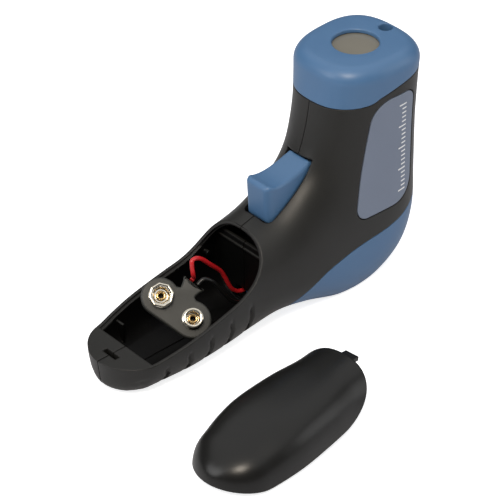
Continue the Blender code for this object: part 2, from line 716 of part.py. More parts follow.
def build_half(name, side, skins, blank, grooves):
    low, high = sorted((side * SPLIT, side * HALF))
    half = box(name, (-3 * HALF, low, -HALF), (2 * HALF, high, 3 * HALF), "dark_abs")
    keep(half, blank)
    join(half, build_ribs(name + "_ribs", side, skins))
    bm = bmesh.new()
    for place in SCREW_PLACES:
        if side > 0:
            add_cylinder(bm, screw_point(place, -HALF), screw_point(place, HALF), SCREW_SHANK_R + GAP, 16)
        else:
            add_cylinder(bm, screw_point(place, HALF), screw_point(place, -SCREW_DEPTH - GAP),
                         SCREW_SHANK_R + GAP, 16)
    pin_reach = side * (PIN_HALF_LENGTH + GAP)
    add_cylinder(bm, pivot_point(side * (TRIGGER_HALF_WIDTH + TRIGGER_CLEAR / 2)),
                 pivot_point(pin_reach), PIN_R + GAP, 20)
    add_upright(bm, trigger_plan(), TRIGGER_SLOT_FOOT_Z, TRIGGER_SLOT_TOP_Z)
    add_box(bm, (SLOT_X - SLOT_WIDTH / 2, -SLOT_LENGTH / 2, DOOR_SEAM_Z - 2 * LEDGE_THICK),
            (SLOT_X + SLOT_WIDTH / 2, SLOT_LENGTH / 2, DOOR_SEAM_Z + WALL))
    add_box(bm, (BAY_END_X - WALL, -LEAD_HOLE_HALF_Y, LEAD_HOLE_Z),
            (BAY_END_X + 2 * BULKHEAD, LEAD_HOLE_HALF_Y, LEAD_HOLE_Z + LEAD_HOLE_HEIGHT))
    cut(half, mesh_object(name + "_holes", bm), grooves)
    if side > 0:
        heads = bmesh.new()
        for place in SCREW_PLACES:
            add_cylinder(heads, screw_point(place, SCREW_SEAT_Y), screw_point(place, HALF),
                         SCREW_HEAD_R + GAP, 20)
        cut(half, mesh_object("screw_wells", heads))
    else:
        recess = prism("panel_recess", panel_outline(PANEL_GAP), -HALF, -HEAD_HALF_WIDTH / 2)
        cut(recess, skin("skin_recess", PANEL_DEPTH + GAP))
        cut(half, recess)
    return half


def pivot_point(y):
    return (TRIGGER_PIVOT[0], y, TRIGGER_PIVOT[1])


def trigger_plan():
    """Top view of the slot: the trigger's rounded front and taper with a gap."""
    front = TRIGGER_TIP[0] - TRIGGER_SLOT_GAP
    back = TRIGGER_PIVOT[0] - TRIGGER_BOSS_R / 2
    wide = TRIGGER_HALF_WIDTH + TRIGGER_SLOT_GAP
    narrow = TRIGGER_ROOT_HALF_WIDTH + TRIGGER_SLOT_GAP
    corners = [(front, -wide), (back, -narrow), (back, narrow), (front, wide)]
    return rounded(corners, [TRIGGER_FRONT_R, 0, 0, TRIGGER_FRONT_R], TRIGGER_SLOT_STEPS)


def build_panel(skins):
    panel = prism("side_panel", panel_outline(0.0), -HALF, -HEAD_HALF_WIDTH / 2, "panel_grey")
    keep(panel, skins["outer"])
    return cut(panel, skin("skin_panel_back", PANEL_DEPTH))


def build_nose_cap(skins):
    cap = prism("nose_cap", cap_zone(0.0), -HALF, HALF, "blue_abs")
    keep(cap, skins["outer"])
    lip = prism("cap_lip", cap_seam(-LIP_DEPTH) + cap_seam(WALL)[::-1], -HALF, HALF)
    join(cap, keep(lip, skins["lip"]))
    cut(cap, skins["seat"])
    top = NOSE_HEIGHT - SEAT_WALL
    holes = bmesh.new()
    add_cylinder(holes, (NOSE_X, 0, top - MM), (NOSE_X, 0, NOSE_HEIGHT + MM), WINDOW_BORE_R, 48)
    add_cylinder(holes, (NOSE_X + LASER_OFFSET_X, 0, top - MM),
                 (NOSE_X + LASER_OFFSET_X, 0, NOSE_HEIGHT + MM), LASER_HOLE_R, 24)
    cut(cap, mesh_object("cap_holes", holes))
    seat = cylinder("window_seat", (NOSE_X, 0, top - MM),
                    (NOSE_X, 0, NOSE_HEIGHT - WINDOW_RECESS + GAP), WINDOW_R + GAP, segments=48)
    return cut(cap, seat)


def build_optics():
    glass_top = NOSE_HEIGHT - WINDOW_RECESS
    glass_foot = glass_top - WINDOW_THICK
    turned("nose_window", [(0, glass_top), (WINDOW_R, glass_top), (WINDOW_R, glass_foot),
                           (0, glass_foot)], "smoked_glass", 48, (NOSE_X, 0, 0))
    top = glass_foot - GAP
    foot = SENSOR_BOARD_Z + SENSOR_BOARD_THICK + GAP
    stop = top - LENS_DEPTH
    turned("lens_tube", [(TUBE_BORE_R, top), (TUBE_FLANGE_R, top),
                         (TUBE_FLANGE_R, top - TUBE_FLANGE_THICK), (TUBE_R, top - TUBE_FLANGE_THICK),
                         (TUBE_R, foot), (TUBE_STOP_R, foot), (TUBE_STOP_R, stop),
                         (TUBE_BORE_R, stop)], "black_plastic", 24, (NOSE_X, 0, 0))
    low = stop + GAP
    high = low + LENS_EDGE
    curve = [(LENS_R * sin(radians(a)), high + LENS_BULGE * cos(radians(a))) for a in (0, 25, 50, 75)]
    turned("receiver_lens", curve + [(LENS_R, high), (LENS_R, low), (0, low)],
           "smoked_glass", 24, (NOSE_X, 0, 0))
    laser_x = NOSE_X + LASER_OFFSET_X
    barrel_top = foot + LASER_LENGTH
    turned("laser_module", [(0, barrel_top - MM), (LASER_APERTURE_R, barrel_top - MM),
                            (LASER_APERTURE_R, barrel_top), (LASER_R, barrel_top), (LASER_R, foot),
                            (0, foot)], "brass", 24, (laser_x, 0, 0))
    box("sensor_board", (SENSOR_BOARD_X[0], -SENSOR_BOARD_HALF_Y, SENSOR_BOARD_Z),
        (SENSOR_BOARD_X[1], SENSOR_BOARD_HALF_Y, SENSOR_BOARD_Z + SENSOR_BOARD_THICK), "board_green")
    can_top = foot + SENSOR_HEIGHT
    flange_top = foot + SENSOR_FLANGE_THICK
    turned("photo_sensor", [(0, can_top), (SENSOR_LENS_R, can_top), (SENSOR_CAN_R, can_top - MM),
                            (SENSOR_CAN_R, flange_top), (SENSOR_R, flange_top),
                            (SENSOR_R, foot), (0, foot)], "nickel", 16, (NOSE_X, 0, 0))


def lcd_base():
    return SEAT_WALL + GAP


def board_base():
    return lcd_base() + LCD_THICK + GAP + ZEBRA_HEIGHT + GAP


def build_display(skins):
    bezel = prism("display_bezel", bezel_zone(0.0), -HALF, HALF, "blue_abs")
    keep(bezel, skins["outer"])
    lip = keep(prism("bezel_lip", bezel_zone(LIP_DEPTH), -HALF, HALF), skins["lip"])
    cut(lip, prism("bezel_lip_core", bezel_zone(-WALL), -HALF, HALF))
    join(bezel, lip)
    cut(bezel, skins["seat"])
    posts = bmesh.new()
    for x in (BOARD_X[0] + POST_INSET, BOARD_X[1] - POST_INSET):
        for side in (-1, 1):
            y = side * (BOARD_HALF_Y - POST_INSET)
            add_cylinder(posts, (x, y, WALL), (x, y, board_base() - GAP), POST_R, 16)
    join(bezel, keep(mesh_object("bezel_posts", posts), skins["middle"]))
    holes = bmesh.new()
    half_length = DISPLAY_LENGTH / 2
    add_box(holes, (DISPLAY_X - half_length, -DISPLAY_HALF_WIDTH, -MM),
            (DISPLAY_X + half_length, DISPLAY_HALF_WIDTH, DISPLAY_PANEL_SET + DISPLAY_PANEL_THICK + GAP))
    add_cylinder(holes, (BUTTON_X, 0, -MM), (BUTTON_X, 0, DISPLAY_CUT_HEIGHT), BUTTON_R + GAP, 24)
    cut(bezel, mesh_object("bezel_holes", holes))
    through = box("bezel_window", (DISPLAY_X - half_length + DISPLAY_LAND,
                                   -DISPLAY_HALF_WIDTH + DISPLAY_LAND, -MM),
                  (DISPLAY_X + half_length - DISPLAY_LAND, DISPLAY_HALF_WIDTH - DISPLAY_LAND,
                   DISPLAY_CUT_HEIGHT))
    cut(bezel, through)
    window = box("display_window",
                 (DISPLAY_X - half_length + GAP, -DISPLAY_HALF_WIDTH + GAP, DISPLAY_PANEL_SET),
                 (DISPLAY_X + half_length - GAP, DISPLAY_HALF_WIDTH - GAP,
                  DISPLAY_PANEL_SET + DISPLAY_PANEL_THICK), "smoked_glass")
    bevel(window, DISPLAY_PANEL_BEVEL, 1)
    low = lcd_base()
    glass_top = low + LCD_THICK
    box("lcd_module", (DISPLAY_X - LCD_LENGTH / 2, -LCD_HALF_WIDTH, low),
        (DISPLAY_X + LCD_LENGTH / 2, LCD_HALF_WIDTH, glass_top), "lcd_glass")
    for name, side in (("zebra_strip_front", -1), ("zebra_strip_back", 1)):
        x = DISPLAY_X + side * (LCD_LENGTH / 2 - ZEBRA_WIDTH)
        box(name, (x - ZEBRA_WIDTH / 2, -ZEBRA_LENGTH / 2, glass_top + GAP),
            (x + ZEBRA_WIDTH / 2, ZEBRA_LENGTH / 2, glass_top + GAP + ZEBRA_HEIGHT), "snap_vinyl")
    return bezel


def build_boards():
    base = board_base()
    top = base + BOARD_THICK
    box("main_board", (BOARD_X[0], -BOARD_HALF_Y, base), (BOARD_X[1], BOARD_HALF_Y, top), "board_green")
    box("processor", (CHIP_X, -CHIP_SIZE / 2, top + GAP),
        (CHIP_X + CHIP_SIZE, CHIP_SIZE / 2, top + GAP + CHIP_HEIGHT), "black_plastic")
    low = top + GAP
    high = SENSOR_BOARD_Z - GAP
    shares = np.linspace(0, 1, RIBBON_STEPS + 1)
    middle = [(RIBBON_X + RIBBON_SWAY * sin(pi * share) ** 2, low + (high - low) * share)
              for share in shares]
    near = [(x - RIBBON_THICK / 2, z) for x, z in middle]
    far = [(x + RIBBON_THICK / 2, z) for x, z in middle]
    prism("link_ribbon", near + far[::-1], -RIBBON_HALF_WIDTH, RIBBON_HALF_WIDTH, "panel_grey")


def build_memory_button():
    board = board_base()
    plunger_foot = board - GAP - SWITCH_HEIGHT
    flange_top = plunger_foot - BUTTON_TRAVEL - GAP
    flange_foot = flange_top - BUTTON_FLANGE_THICK
    turned("memory_button", [(0, flange_top), (BUTTON_FLANGE_R, flange_top),
                             (BUTTON_FLANGE_R, flange_foot), (BUTTON_R, flange_foot),
                             (BUTTON_R, BUTTON_SET + BUTTON_CHAMFER),
                             (BUTTON_R - BUTTON_CHAMFER, BUTTON_SET),
                             (0, BUTTON_SET)], "black_plastic", 24, (BUTTON_X, 0, 0))
    half = SWITCH_SIZE / 2
    body_foot = plunger_foot + SWITCH_PLUNGER_HEIGHT
    body = box("memory_switch", (BUTTON_X - half, -half, body_foot),
               (BUTTON_X + half, half, board - GAP), "black_plastic")
    plunger = cylinder("memory_switch_plunger", (BUTTON_X, 0, plunger_foot),
                       (BUTTON_X, 0, body_foot + 0.5 * MM), SWITCH_PLUNGER_R, segments=16)
    join(body, plunger)


def trigger_outline():
    """Side view of the trigger: hollow finger face, toe, heel and pivot boss."""
    tip = Vector(TRIGGER_TIP)
    root = Vector(TRIGGER_ROOT)
    face = []
    for share in np.linspace(0, 1, TRIGGER_FACE_STEPS + 1):
        point = tip.lerp(root, share)
        face.append((point.x, point.y - TRIGGER_HOLLOW * sin(pi * share ** TRIGGER_FACE_BIAS)))
    boss = []
    for angle in np.radians(np.linspace(*TRIGGER_BOSS_ARC, TRIGGER_BOSS_STEPS + 1)):
        boss.append((TRIGGER_PIVOT[0] + TRIGGER_BOSS_R * cos(angle),
                     TRIGGER_PIVOT[1] + TRIGGER_BOSS_R * sin(angle)))
    seat = [(SPRING_X + SPRING_SEAT_HALF_X, SPRING_SEAT_Z), (SPRING_X - SPRING_SEAT_HALF_X, SPRING_SEAT_Z)]
    tip_arc = rounded([TRIGGER_TOE, TRIGGER_TIP, face[2]], [0, TRIGGER_TIP_R, 0], 3)[1:-1]
    return tip_arc + face[2:] + boss + seat + [TRIGGER_HEEL, TRIGGER_TOE]


def trigger_rings():
    """Outlines from one side to the other: edges inset, front set back, root narrower."""
    level = TRIGGER_HALF_WIDTH - TRIGGER_EDGE_ROUND
    flat = TRIGGER_HALF_WIDTH - TRIGGER_FRONT_R
    levels = [(flat, 0), ((flat + level) / 2, 0)]
    for angle in (0, pi / 4, pi / 2):
        levels.append((level + TRIGGER_EDGE_ROUND * sin(angle), TRIGGER_EDGE_ROUND * (1 - cos(angle))))
    taper = 1 - TRIGGER_ROOT_HALF_WIDTH / TRIGGER_HALF_WIDTH
    half = []
    for y, inset in levels:
        ring = np.array(grow(trigger_outline(), -inset))
        set_back = TRIGGER_FRONT_R - np.sqrt(TRIGGER_FRONT_R ** 2 - (y - flat) ** 2)
        behind = (ring[:, 0] - TRIGGER_TIP[0]) / TRIGGER_FRONT_DEPTH
        along = (ring[:, 0] - TRIGGER_TIP[0]) / (TRIGGER_ROOT[0] - TRIGGER_TIP[0])
        narrow = y * (1 - taper * np.clip(along, 0, 1))
        ring[:, 0] += set_back * np.clip(1 - behind, 0, 1)
        half.append(np.stack([ring[:, 0], narrow, ring[:, 1]], axis=1))
    return [ring * (1, -1, 1) for ring in half[::-1]] + half


def build_trigger():
    bm = bmesh.new()
    add_rings(bm, trigger_rings())
    bmesh.ops.translate(bm, vec=(-TRIGGER_PIVOT[0], 0, -TRIGGER_PIVOT[1]), verts=bm.verts)
    trigger = mesh_object("trigger", bm, "blue_abs", 40)
    trigger.location = pivot_point(0)
    cut(trigger, cylinder("trigger_bore", pivot_point(-HALF), pivot_point(HALF), PIN_R + GAP))
    return trigger


def build_trigger_parts():
    cylinder("trigger_pin", pivot_point(-PIN_HALF_LENGTH), pivot_point(PIN_HALF_LENGTH), PIN_R,
             "steel", 20)
    foot = DECK_Z + GAP
    build_coil("trigger_spring", foot, SPRING_SEAT_Z - GAP)
    body_top = foot + MICROSWITCH_HEIGHT
    body = box("trigger_switch", (MICROSWITCH_X - MICROSWITCH_HALF_X, -MICROSWITCH_HALF_Y, foot),
               (MICROSWITCH_X + MICROSWITCH_HALF_X, MICROSWITCH_HALF_Y, body_top), "black_plastic")
    plunger = cylinder("trigger_switch_plunger", (MICROSWITCH_X, 0, body_top - MM),
                       (MICROSWITCH_X, 0, body_top + MICROSWITCH_PLUNGER_HEIGHT),
                       MICROSWITCH_PLUNGER_R, segments=12)
    join(body, plunger)


def curve_tube(name, points, radius, look, resolution=2):
    data = bpy.data.curves.new(name, "CURVE")
    data.dimensions = "3D"
    data.bevel_depth = radius
    data.bevel_resolution = resolution
    data.use_fill_caps = True
    spline = data.splines.new("POLY")
    spline.points.add(len(points) - 1)
    for target, point in zip(spline.points, points):
        target.co = (*point, 1.0)
    data.materials.append(material(look))
    obj = bpy.data.objects.new(name, data)
    PARTS.objects.link(obj)
    return obj


def build_coil(name, foot, top):
    radius = SPRING_R - SPRING_WIRE_R
    count = SPRING_TURNS * SPRING_TURN_POINTS
    low = foot + SPRING_WIRE_R
    high = top - SPRING_WIRE_R
    points = []
    for k in range(count + 1):
        turn = 2 * pi * k / SPRING_TURN_POINTS
        points.append((SPRING_X + radius * cos(turn), radius * sin(turn), low + (high - low) * k / count))
    curve_tube(name, points, SPRING_WIRE_R, "steel", 1)


def build_screws():
    for number, place in enumerate(SCREW_PLACES, 1):
        seat = SCREW_SEAT_Y + GAP
        top = seat + SCREW_HEAD_THICK
        tip = -SCREW_DEPTH
        screw = turned("housing_screw_%d" % number,
                       [(0, top), (SCREW_HEAD_R - SCREW_HEAD_CHAMFER, top),
                        (SCREW_HEAD_R, top - SCREW_HEAD_CHAMFER), (SCREW_HEAD_R, seat),
                        (SCREW_SHANK_R, seat), (SCREW_SHANK_R, tip + SCREW_POINT), (0, tip)],
                       "steel", 14)
        screw.location = screw_point(place, 0)
        screw.rotation_euler = (-pi / 2, 0, 0)


def build_battery_door(skins):
    """Curved cover with a seating lip and a latch tab, laid on its long edges."""
    door = prism("battery_door", door_zone(0.0), -HALF, HALF, "dark_abs")
    keep(door, skins["outer"])
    lip = keep(prism("door_lip", door_zone(DOOR_LIP_DEPTH), -HALF, HALF), skins["lip"])
    cut(lip, prism("door_lip_core", door_zone(-WALL), -HALF, HALF))
    join(door, lip)
    cut(door, skins["seat"])
    tab = box("door_tab", (DOOR_NOTCH_X - TAB_ROOT, -TAB_HALF_WIDTH, TAB_TOP_Z - TAB_THICK),
              (DOOR_NOTCH_X + TAB_LENGTH, TAB_HALF_WIDTH, TAB_TOP_Z))
    join(door, tab)
    lay_down(door)
    return door


def lay_down(door):
    """Freeze the cover's shape, tip it on to its long edges and set it on the ground."""
    graph = bpy.context.evaluated_depsgraph_get()
    mesh = bpy.data.meshes.new_from_object(door.evaluated_get(graph))
    door.modifiers.clear()
    door.data = mesh
    slope = DOOR_TIP + atan2(DOOR_SEAM_RISE, DOOR_SEAM_END_X - DOOR_SEAM_START_X)
    tip = Matrix.Rotation(DOOR_YAW, 4, "Z") @ Matrix.Rotation(slope, 4, "Y")
    notch = tip @ Vector((DOOR_NOTCH_X, 0, DOOR_NOTCH_Z))
    lowest = min((tip @ vertex.co).z for vertex in mesh.vertices)
    place = Vector((DOOR_REST_X - notch.x, DOOR_REST_Y - notch.y, -lowest))
    mesh.transform(Matrix.Translation(place) @ tip)


def build_snap_connector():
    """Vinyl body with its socket and stud, all in one tilted frame."""
    long_way = Vector(SNAP_LONG_WAY).normalized()
    face_way = Vector(SNAP_TAIL_WAY).cross(long_way).normalized()
    tail_way = long_way.cross(face_way)
    turn = Matrix((long_way, face_way, tail_way)).transposed().to_4x4()
    frame = bpy.data.objects.new("snap_frame", None)
    frame.matrix_world = Matrix.Translation(Vector(SNAP_CENTRE)) @ turn
    PARTS.objects.link(frame)
    reach = SNAP_PITCH / 2
    bm = bmesh.new()
    add_rings(bm, snap_rings())
    body = mesh_object("snap_connector", bm, "snap_vinyl", 40)
    back = -SNAP_BODY_THICK / 2 - GAP
    socket = turned("snap_socket", flared_ring(SOCKET_R, SOCKET_BORE_R, SOCKET_HEIGHT),
                    "nickel", 8, (-reach, back, 0))
    stud = turned("snap_stud", flared_ring(STUD_R, STUD_BORE_R, STUD_HEIGHT),
                  "nickel", 16, (reach, back, 0))
    for obj in (socket, stud):
        obj.rotation_euler = (pi / 2, 0, 0)
    for obj in (body, socket, stud):
        obj.parent = frame
    return frame


def snap_outline():
    """Front view: two lobes with a straight foot, a neck and a fish tail."""
    lobe = []
    for angle in np.radians(np.linspace(*SNAP_LOBE_ARC, SNAP_LOBE_STEPS + 1)):
        lobe.append((SNAP_PITCH / 2 + SNAP_BODY_R * cos(angle), SNAP_BODY_R * sin(angle)))
    side = lobe + [SNAP_NECK, (SNAP_EAR_HALF, SNAP_TAIL_LENGTH)]
    return side + [(0, SNAP_TAIL_LENGTH - SNAP_EAR_DIP)] + [(-x, z) for x, z in side[::-1]]


def snap_rings():
    """Outlines through the body's thickness, inset along its rounded edges."""
    flat = SNAP_BODY_THICK / 2 - SNAP_EDGE_ROUND
    rings = []
    for angle in np.radians((-90, -45, 0, 0, 45, 90)):
        side = -1 if len(rings) < 3 else 1
        y = side * flat + SNAP_EDGE_ROUND * sin(angle)
        ring = grow(snap_outline(), -SNAP_EDGE_ROUND * (1 - cos(angle)))
        rings.append([(x, y, z) for x, z in ring])
    return rings


def flared_ring(radius, bore, height):
    """Closed profile of a pressed ring: base flange, waist and rolled rim."""
    return [(bore, height), (bore + SNAP_RIM, height + SNAP_RIM / 2),
            (radius - SNAP_RIM, height + SNAP_RIM / 2), (radius, height), (radius - SNAP_RIM, height / 2),
            (radius, SNAP_RIM), (radius, 0), (bore, 0)]


def smooth_route(route, spacing):
    """Even points on a smooth curve through a cord's route points in mm."""
    fine = smooth_rows(route, 24) * MM
    steps = np.linalg.norm(np.diff(fine, axis=0), axis=1)
    travelled = np.concatenate([[0], np.cumsum(steps)])
    count = max(2, int(travelled[-1] / spacing))
    marks = np.linspace(0, travelled[-1], count + 1)
    return np.stack([np.interp(marks, travelled, fine[:, i]) for i in range(3)], axis=1)


def build_leads(frame):
    bpy.context.view_layer.update()
    for name, route, side, look in (("red_lead", RED_ROUTE, -1, "red_pvc"),
                                    ("black_lead", BLACK_ROUTE, 1, "black_pvc")):
        exit_point = Vector((side * LEAD_SPREAD, 0, SNAP_TAIL_LENGTH + GAP))
        start = frame.matrix_world @ exit_point
        ahead = frame.matrix_world @ (exit_point + Vector((0, 0, LEAD_AHEAD)))
        whole = [tuple(start / MM), tuple(ahead / MM)] + [tuple(point) for point in route]
        curve_tube(name, smooth_route(whole, LEAD_POINT_SPACING), LEAD_R, look)


def main():
    skins = build_skins()
    cavities = build_cavities(skins)
    blank = build_housing_blank(skins, cavities)
    grooves = build_grooves()
    build_half("housing_left", -1, skins, blank, grooves)
    build_half("housing_right", 1, skins, blank, grooves)
    build_panel(skins)
    build_nose_cap(skins)
    build_optics()
    build_display(skins)
    build_boards()
    build_memory_button()
    build_trigger()
    build_trigger_parts()
    build_screws()
    build_battery_door(skins)
    build_leads(build_snap_connector())


clear_scene()
PARTS = new_collection("handheld_tachometer")
CUTTERS = new_collection("cutters")
main()
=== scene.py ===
# %% [markdown]
# # A handheld optical tachometer
#
# The instrument lies on its display side, with its nose up and its battery
# cover off beside it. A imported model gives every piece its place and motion.
# This lesson gives those pieces their fine surfaces, their finishes and the
# light of a small product photograph.

# %% Load the frame
from math import cos, pi, radians, sin

import bpy
import numpy as np
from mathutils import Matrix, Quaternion, Vector


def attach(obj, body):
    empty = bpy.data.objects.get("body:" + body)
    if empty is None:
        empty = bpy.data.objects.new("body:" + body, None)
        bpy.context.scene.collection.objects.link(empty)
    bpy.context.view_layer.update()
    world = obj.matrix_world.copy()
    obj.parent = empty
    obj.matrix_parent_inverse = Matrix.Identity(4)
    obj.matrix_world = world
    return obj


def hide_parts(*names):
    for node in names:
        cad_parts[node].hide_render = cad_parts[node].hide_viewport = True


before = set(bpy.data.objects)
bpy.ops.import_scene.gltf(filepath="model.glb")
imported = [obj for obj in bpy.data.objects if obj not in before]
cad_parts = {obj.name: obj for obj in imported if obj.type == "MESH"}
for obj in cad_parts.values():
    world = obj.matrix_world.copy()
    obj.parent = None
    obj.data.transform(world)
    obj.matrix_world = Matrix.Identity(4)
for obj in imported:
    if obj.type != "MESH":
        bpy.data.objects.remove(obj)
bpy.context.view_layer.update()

MM = 0.001

# %% [markdown]
# ## The camera
#
# The photograph was taken with a long lens from the front left and a third
# of a right angle up. A long lens keeps parallel edges nearly parallel,
# which is why the barrel hardly tapers in the picture. The place, the lens and
# the small roll below were found by matching known points and the outline.

# %% Camera
CAMERA_PLACE = Vector((-469.12, -506.4, 508.29)) * MM
CAMERA_AIM = Vector((-23.15, 1.06, 24.13)) * MM
CAMERA_LENS = 177.64
CAMERA_ROLL = radians(-0.884)


def new_object(name, data):
    """An object that carries the data, linked to the scene."""
    made = bpy.data.objects.new(name, data)
    bpy.context.scene.collection.objects.link(made)
    return made


camera = new_object("camera", bpy.data.cameras.new("camera"))
camera.data.lens = CAMERA_LENS
camera.data.sensor_width = 36.0
camera.data.clip_end = 20.0
camera.location = CAMERA_PLACE
camera.rotation_mode = "QUATERNION"
level = (CAMERA_AIM - CAMERA_PLACE).to_track_quat("-Z", "Y")
camera.rotation_quaternion = level @ Quaternion((0, 0, 1), CAMERA_ROLL)
bpy.context.scene.camera = camera
print("camera distance", round((CAMERA_AIM - CAMERA_PLACE).length, 3), "m")

# %% [markdown]
# ## Smooth curves through chosen rows
#
# A designer gives a few sections and lets a curve run through them. This
# curve passes through every row, and each span is a cubic of its two rows and
# their neighbours, so a whole array of positions is worked out at once.

# %% Spline through rows
def spline_rows(rows, at):
    """Rows at positions `at`, counted in spans: a cubic blend of four rows."""
    rows = np.asarray(rows, float)
    padded = np.vstack([2 * rows[0] - rows[1], rows, 2 * rows[-1] - rows[-2]])
    span = np.minimum(at.astype(int), len(rows) - 2)
    t = (at - span)[:, None]
    p0, p1, p2, p3 = (padded[span + k] for k in range(4))
    return 0.5 * (2 * p1 + (p2 - p0) * t + (2 * p0 - 5 * p1 + 4 * p2 - p3) * t ** 2
                  + (3 * p1 - p0 - 3 * p2 + p3) * t ** 3)


def even_points(points, count):
    """The same line with `count` points evenly spaced along it."""
    steps = np.linalg.norm(np.diff(points, axis=0), axis=1)
    travelled = np.concatenate([[0], np.cumsum(steps)])
    marks = np.linspace(0, travelled[-1], count)
    return np.stack([np.interp(marks, travelled, column) for column in points.T], axis=1)


# %% [markdown]
# ## The battery leads
#
# The two leads are limp stranded wires. They come from the main board
# through a hole in the bulkhead, rise over the battery bay in a loose loop
# and end in the snap connector. Each is a curve with a round bevel, because
# a curve keeps a wire equally thick along every bend.

# %% Frame of the snap connector
SNAP_CENTRE = np.array((-57.2, -0.2, 17.6)) * MM
SNAP_LONG_WAY = (0.375, -0.79, -0.485)
SNAP_TAIL_WAY = (0.80, 0.20, 0.57)
SNAP_TAIL_LENGTH = 10.4 * MM
LEAD_GAP = 0.3 * MM
LEAD_RADIUS = 0.75 * MM
LEAD_SPREAD = 1.3 * MM
LEAD_AHEAD = 1.2 * MM


def unit(vector):
    """The same direction with length one."""
    return np.asarray(vector) / np.linalg.norm(vector)


snap_long = unit(SNAP_LONG_WAY)
snap_face = unit(np.cross(SNAP_TAIL_WAY, snap_long))
snap_tail = np.cross(snap_long, snap_face)


def on_snap(along, out, tail):
    """World points of the connector's own long, outward and tail distances."""
    parts = np.broadcast_arrays(along, out, tail)
    return (SNAP_CENTRE + parts[0][..., None] * snap_long - parts[1][..., None] * snap_face
            + parts[2][..., None] * snap_tail)


# %% Leads
RED_ROUTE = ((-48.8, 0.6, 27.1), (-48.8, 1.0, 30.0), (-48.3, 1.4, 31.8), (-46.8, 1.6, 31.9),
             (-44.9, 1.7, 31.0), (-43.0, 1.8, 29.3), (-39.3, 2.0, 25.2), (-35.5, 2.2, 21.0),
             (-33.6, 2.2, 17.4), (-31.9, 2.2, 13.4), (-30.0, 2.2, 10.4), (-27.2, 2.2, 8.4),
             (-23.4, 2.4, 8.0), (-19.5, 2.6, 9.8), (-15.8, 2.8, 11.3), (-12.0, 3.0, 11.4),
             (-9.0, 3.0, 11.4))
BLACK_ROUTE = ((-44.6, -0.6, 23.6), (-42.0, -1.9, 21.6), (-39.7, -3.2, 17.6), (-37.0, -3.8, 13.2),
               (-33.6, -3.6, 10.0), (-30.0, -3.0, 8.4), (-27.0, -2.6, 7.9), (-23.4, -2.5, 8.0),
               (-19.5, -2.6, 9.8), (-15.8, -2.8, 11.3), (-12.0, -3.0, 11.4), (-9.0, -3.0, 11.4))
LEAD_POINTS = 120


def lead(name, route, side):
    """A wire along the smooth curve through its route, from board to plug."""
    start = on_snap(side * LEAD_SPREAD, 0, SNAP_TAIL_LENGTH + LEAD_GAP)
    ahead = on_snap(side * LEAD_SPREAD, 0, SNAP_TAIL_LENGTH + LEAD_GAP + LEAD_AHEAD)
    rows = np.vstack([start, ahead, np.array(route) * MM])[::-1]
    fine = spline_rows(rows, np.linspace(0, len(rows) - 1, 20 * len(rows)))
    points = even_points(fine, LEAD_POINTS)
    data = bpy.data.curves.new(name, "CURVE")
    data.dimensions = "3D"
    data.bevel_depth = LEAD_RADIUS
    data.bevel_resolution = 4
    data.use_fill_caps = True
    line = data.splines.new("POLY")
    line.points.add(LEAD_POINTS - 1)
    line.points.foreach_set("co", np.hstack([points, np.ones((LEAD_POINTS, 1))]).ravel())
    length = np.linalg.norm(np.diff(points, axis=0), axis=1).sum()
    print(name, "is", round(length / MM, 1), "mm long")
    return new_object(name, data), points, float(length)


red_wire, red_points, red_length = lead("red_wire", RED_ROUTE, -1)
black_wire, black_points, black_length = lead("black_wire", BLACK_ROUTE, 1)

# %% [markdown]
# ## Meshes from arrays
#
# A surface here is an array of points with rows and columns. Its faces join
# each point to its neighbours, and each way may close on itself. Rows that
# close, with a flat face at both ends, make a closed solid, which is what
# later cuts need.

# %% Grid to mesh
def grid_faces(rows, columns, wrap_rows=False):
    """Corner numbers of the quads of a grid whose columns close on themselves."""
    row = np.arange(rows if wrap_rows else rows - 1)[:, None]
    column = np.arange(columns)[None, :]
    below = row * columns
    above = (row + 1) % rows * columns
    right = (column + 1) % columns
    return np.stack([below + column, below + right, above + right, above + column],
                    axis=-1).reshape(-1, 4)


def mesh_object(name, points, faces):
    """An object whose mesh has these points, and faces of their numbers."""
    mesh = bpy.data.meshes.new(name)
    mesh.from_pydata(points.reshape(-1, 3), [], faces)
    mesh.update()
    return new_object(name, mesh)


def closed_grid(name, points):
    """A solid from rings of points, closed by one flat face at either end."""
    rows, columns = points.shape[:2]
    faces = grid_faces(rows, columns).tolist()
    faces.append(list(range(columns))[::-1])
    faces.append([(rows - 1) * columns + i for i in range(columns)])
    return outward(mesh_object(name, points, faces))


def rows_of(items, field, kind=np.float32):
    """One field of all the mesh's items, as rows of three."""
    values = np.empty(len(items) * 3, kind)
    items.foreach_get(field, values)
    return values.reshape(-1, 3)


def outward(solid):
    """Turn a closed mesh right side out, by the sign of its volume."""
    mesh = solid.data
    mesh.calc_loop_triangles()
    corners = rows_of(mesh.loop_triangles, "vertices", np.int32)
    a, b, c = np.moveaxis(rows_of(mesh.vertices, "co")[corners].astype(float), 1, 0)
    if (np.cross(a, b) * c).sum() < 0:
        mesh.flip_normals()
    return solid


# %% [markdown]
# ## Cutting shapes
#
# The mouldings meet along seams that are straight across the instrument, so
# each seam is an outline in the side view, carried across the width as a
# prism. Holes are turned profiles. Boolean modifiers then cut the mouldings
# from one skin, and the seams fit each other exactly. The Manifold solver
# suits these dense closed meshes, because it is quick and leaves them closed.

# %% Cutting helpers
REACH = 40.0 * MM


def prism(name, outline, low=-REACH, high=REACH):
    """A side-view outline of x, z pairs carried from y = low to y = high."""
    outline = np.asarray(outline, float)
    ring = np.insert(outline, 1, 0.0, axis=1)
    return closed_grid(name, np.stack([ring + (0, low, 0), ring + (0, high, 0)]))


def block(name, low, high):
    """A box between two corners, as a prism of four side-view points."""
    outline = [(low[0], low[2]), (high[0], low[2]), (high[0], high[2]), (low[0], high[2])]
    return prism(name, outline, low[1], high[1])


# No axis here points this way, so crossing it always gives a sideways one.
ASKEW = (0.3, 1.0, 0.2)


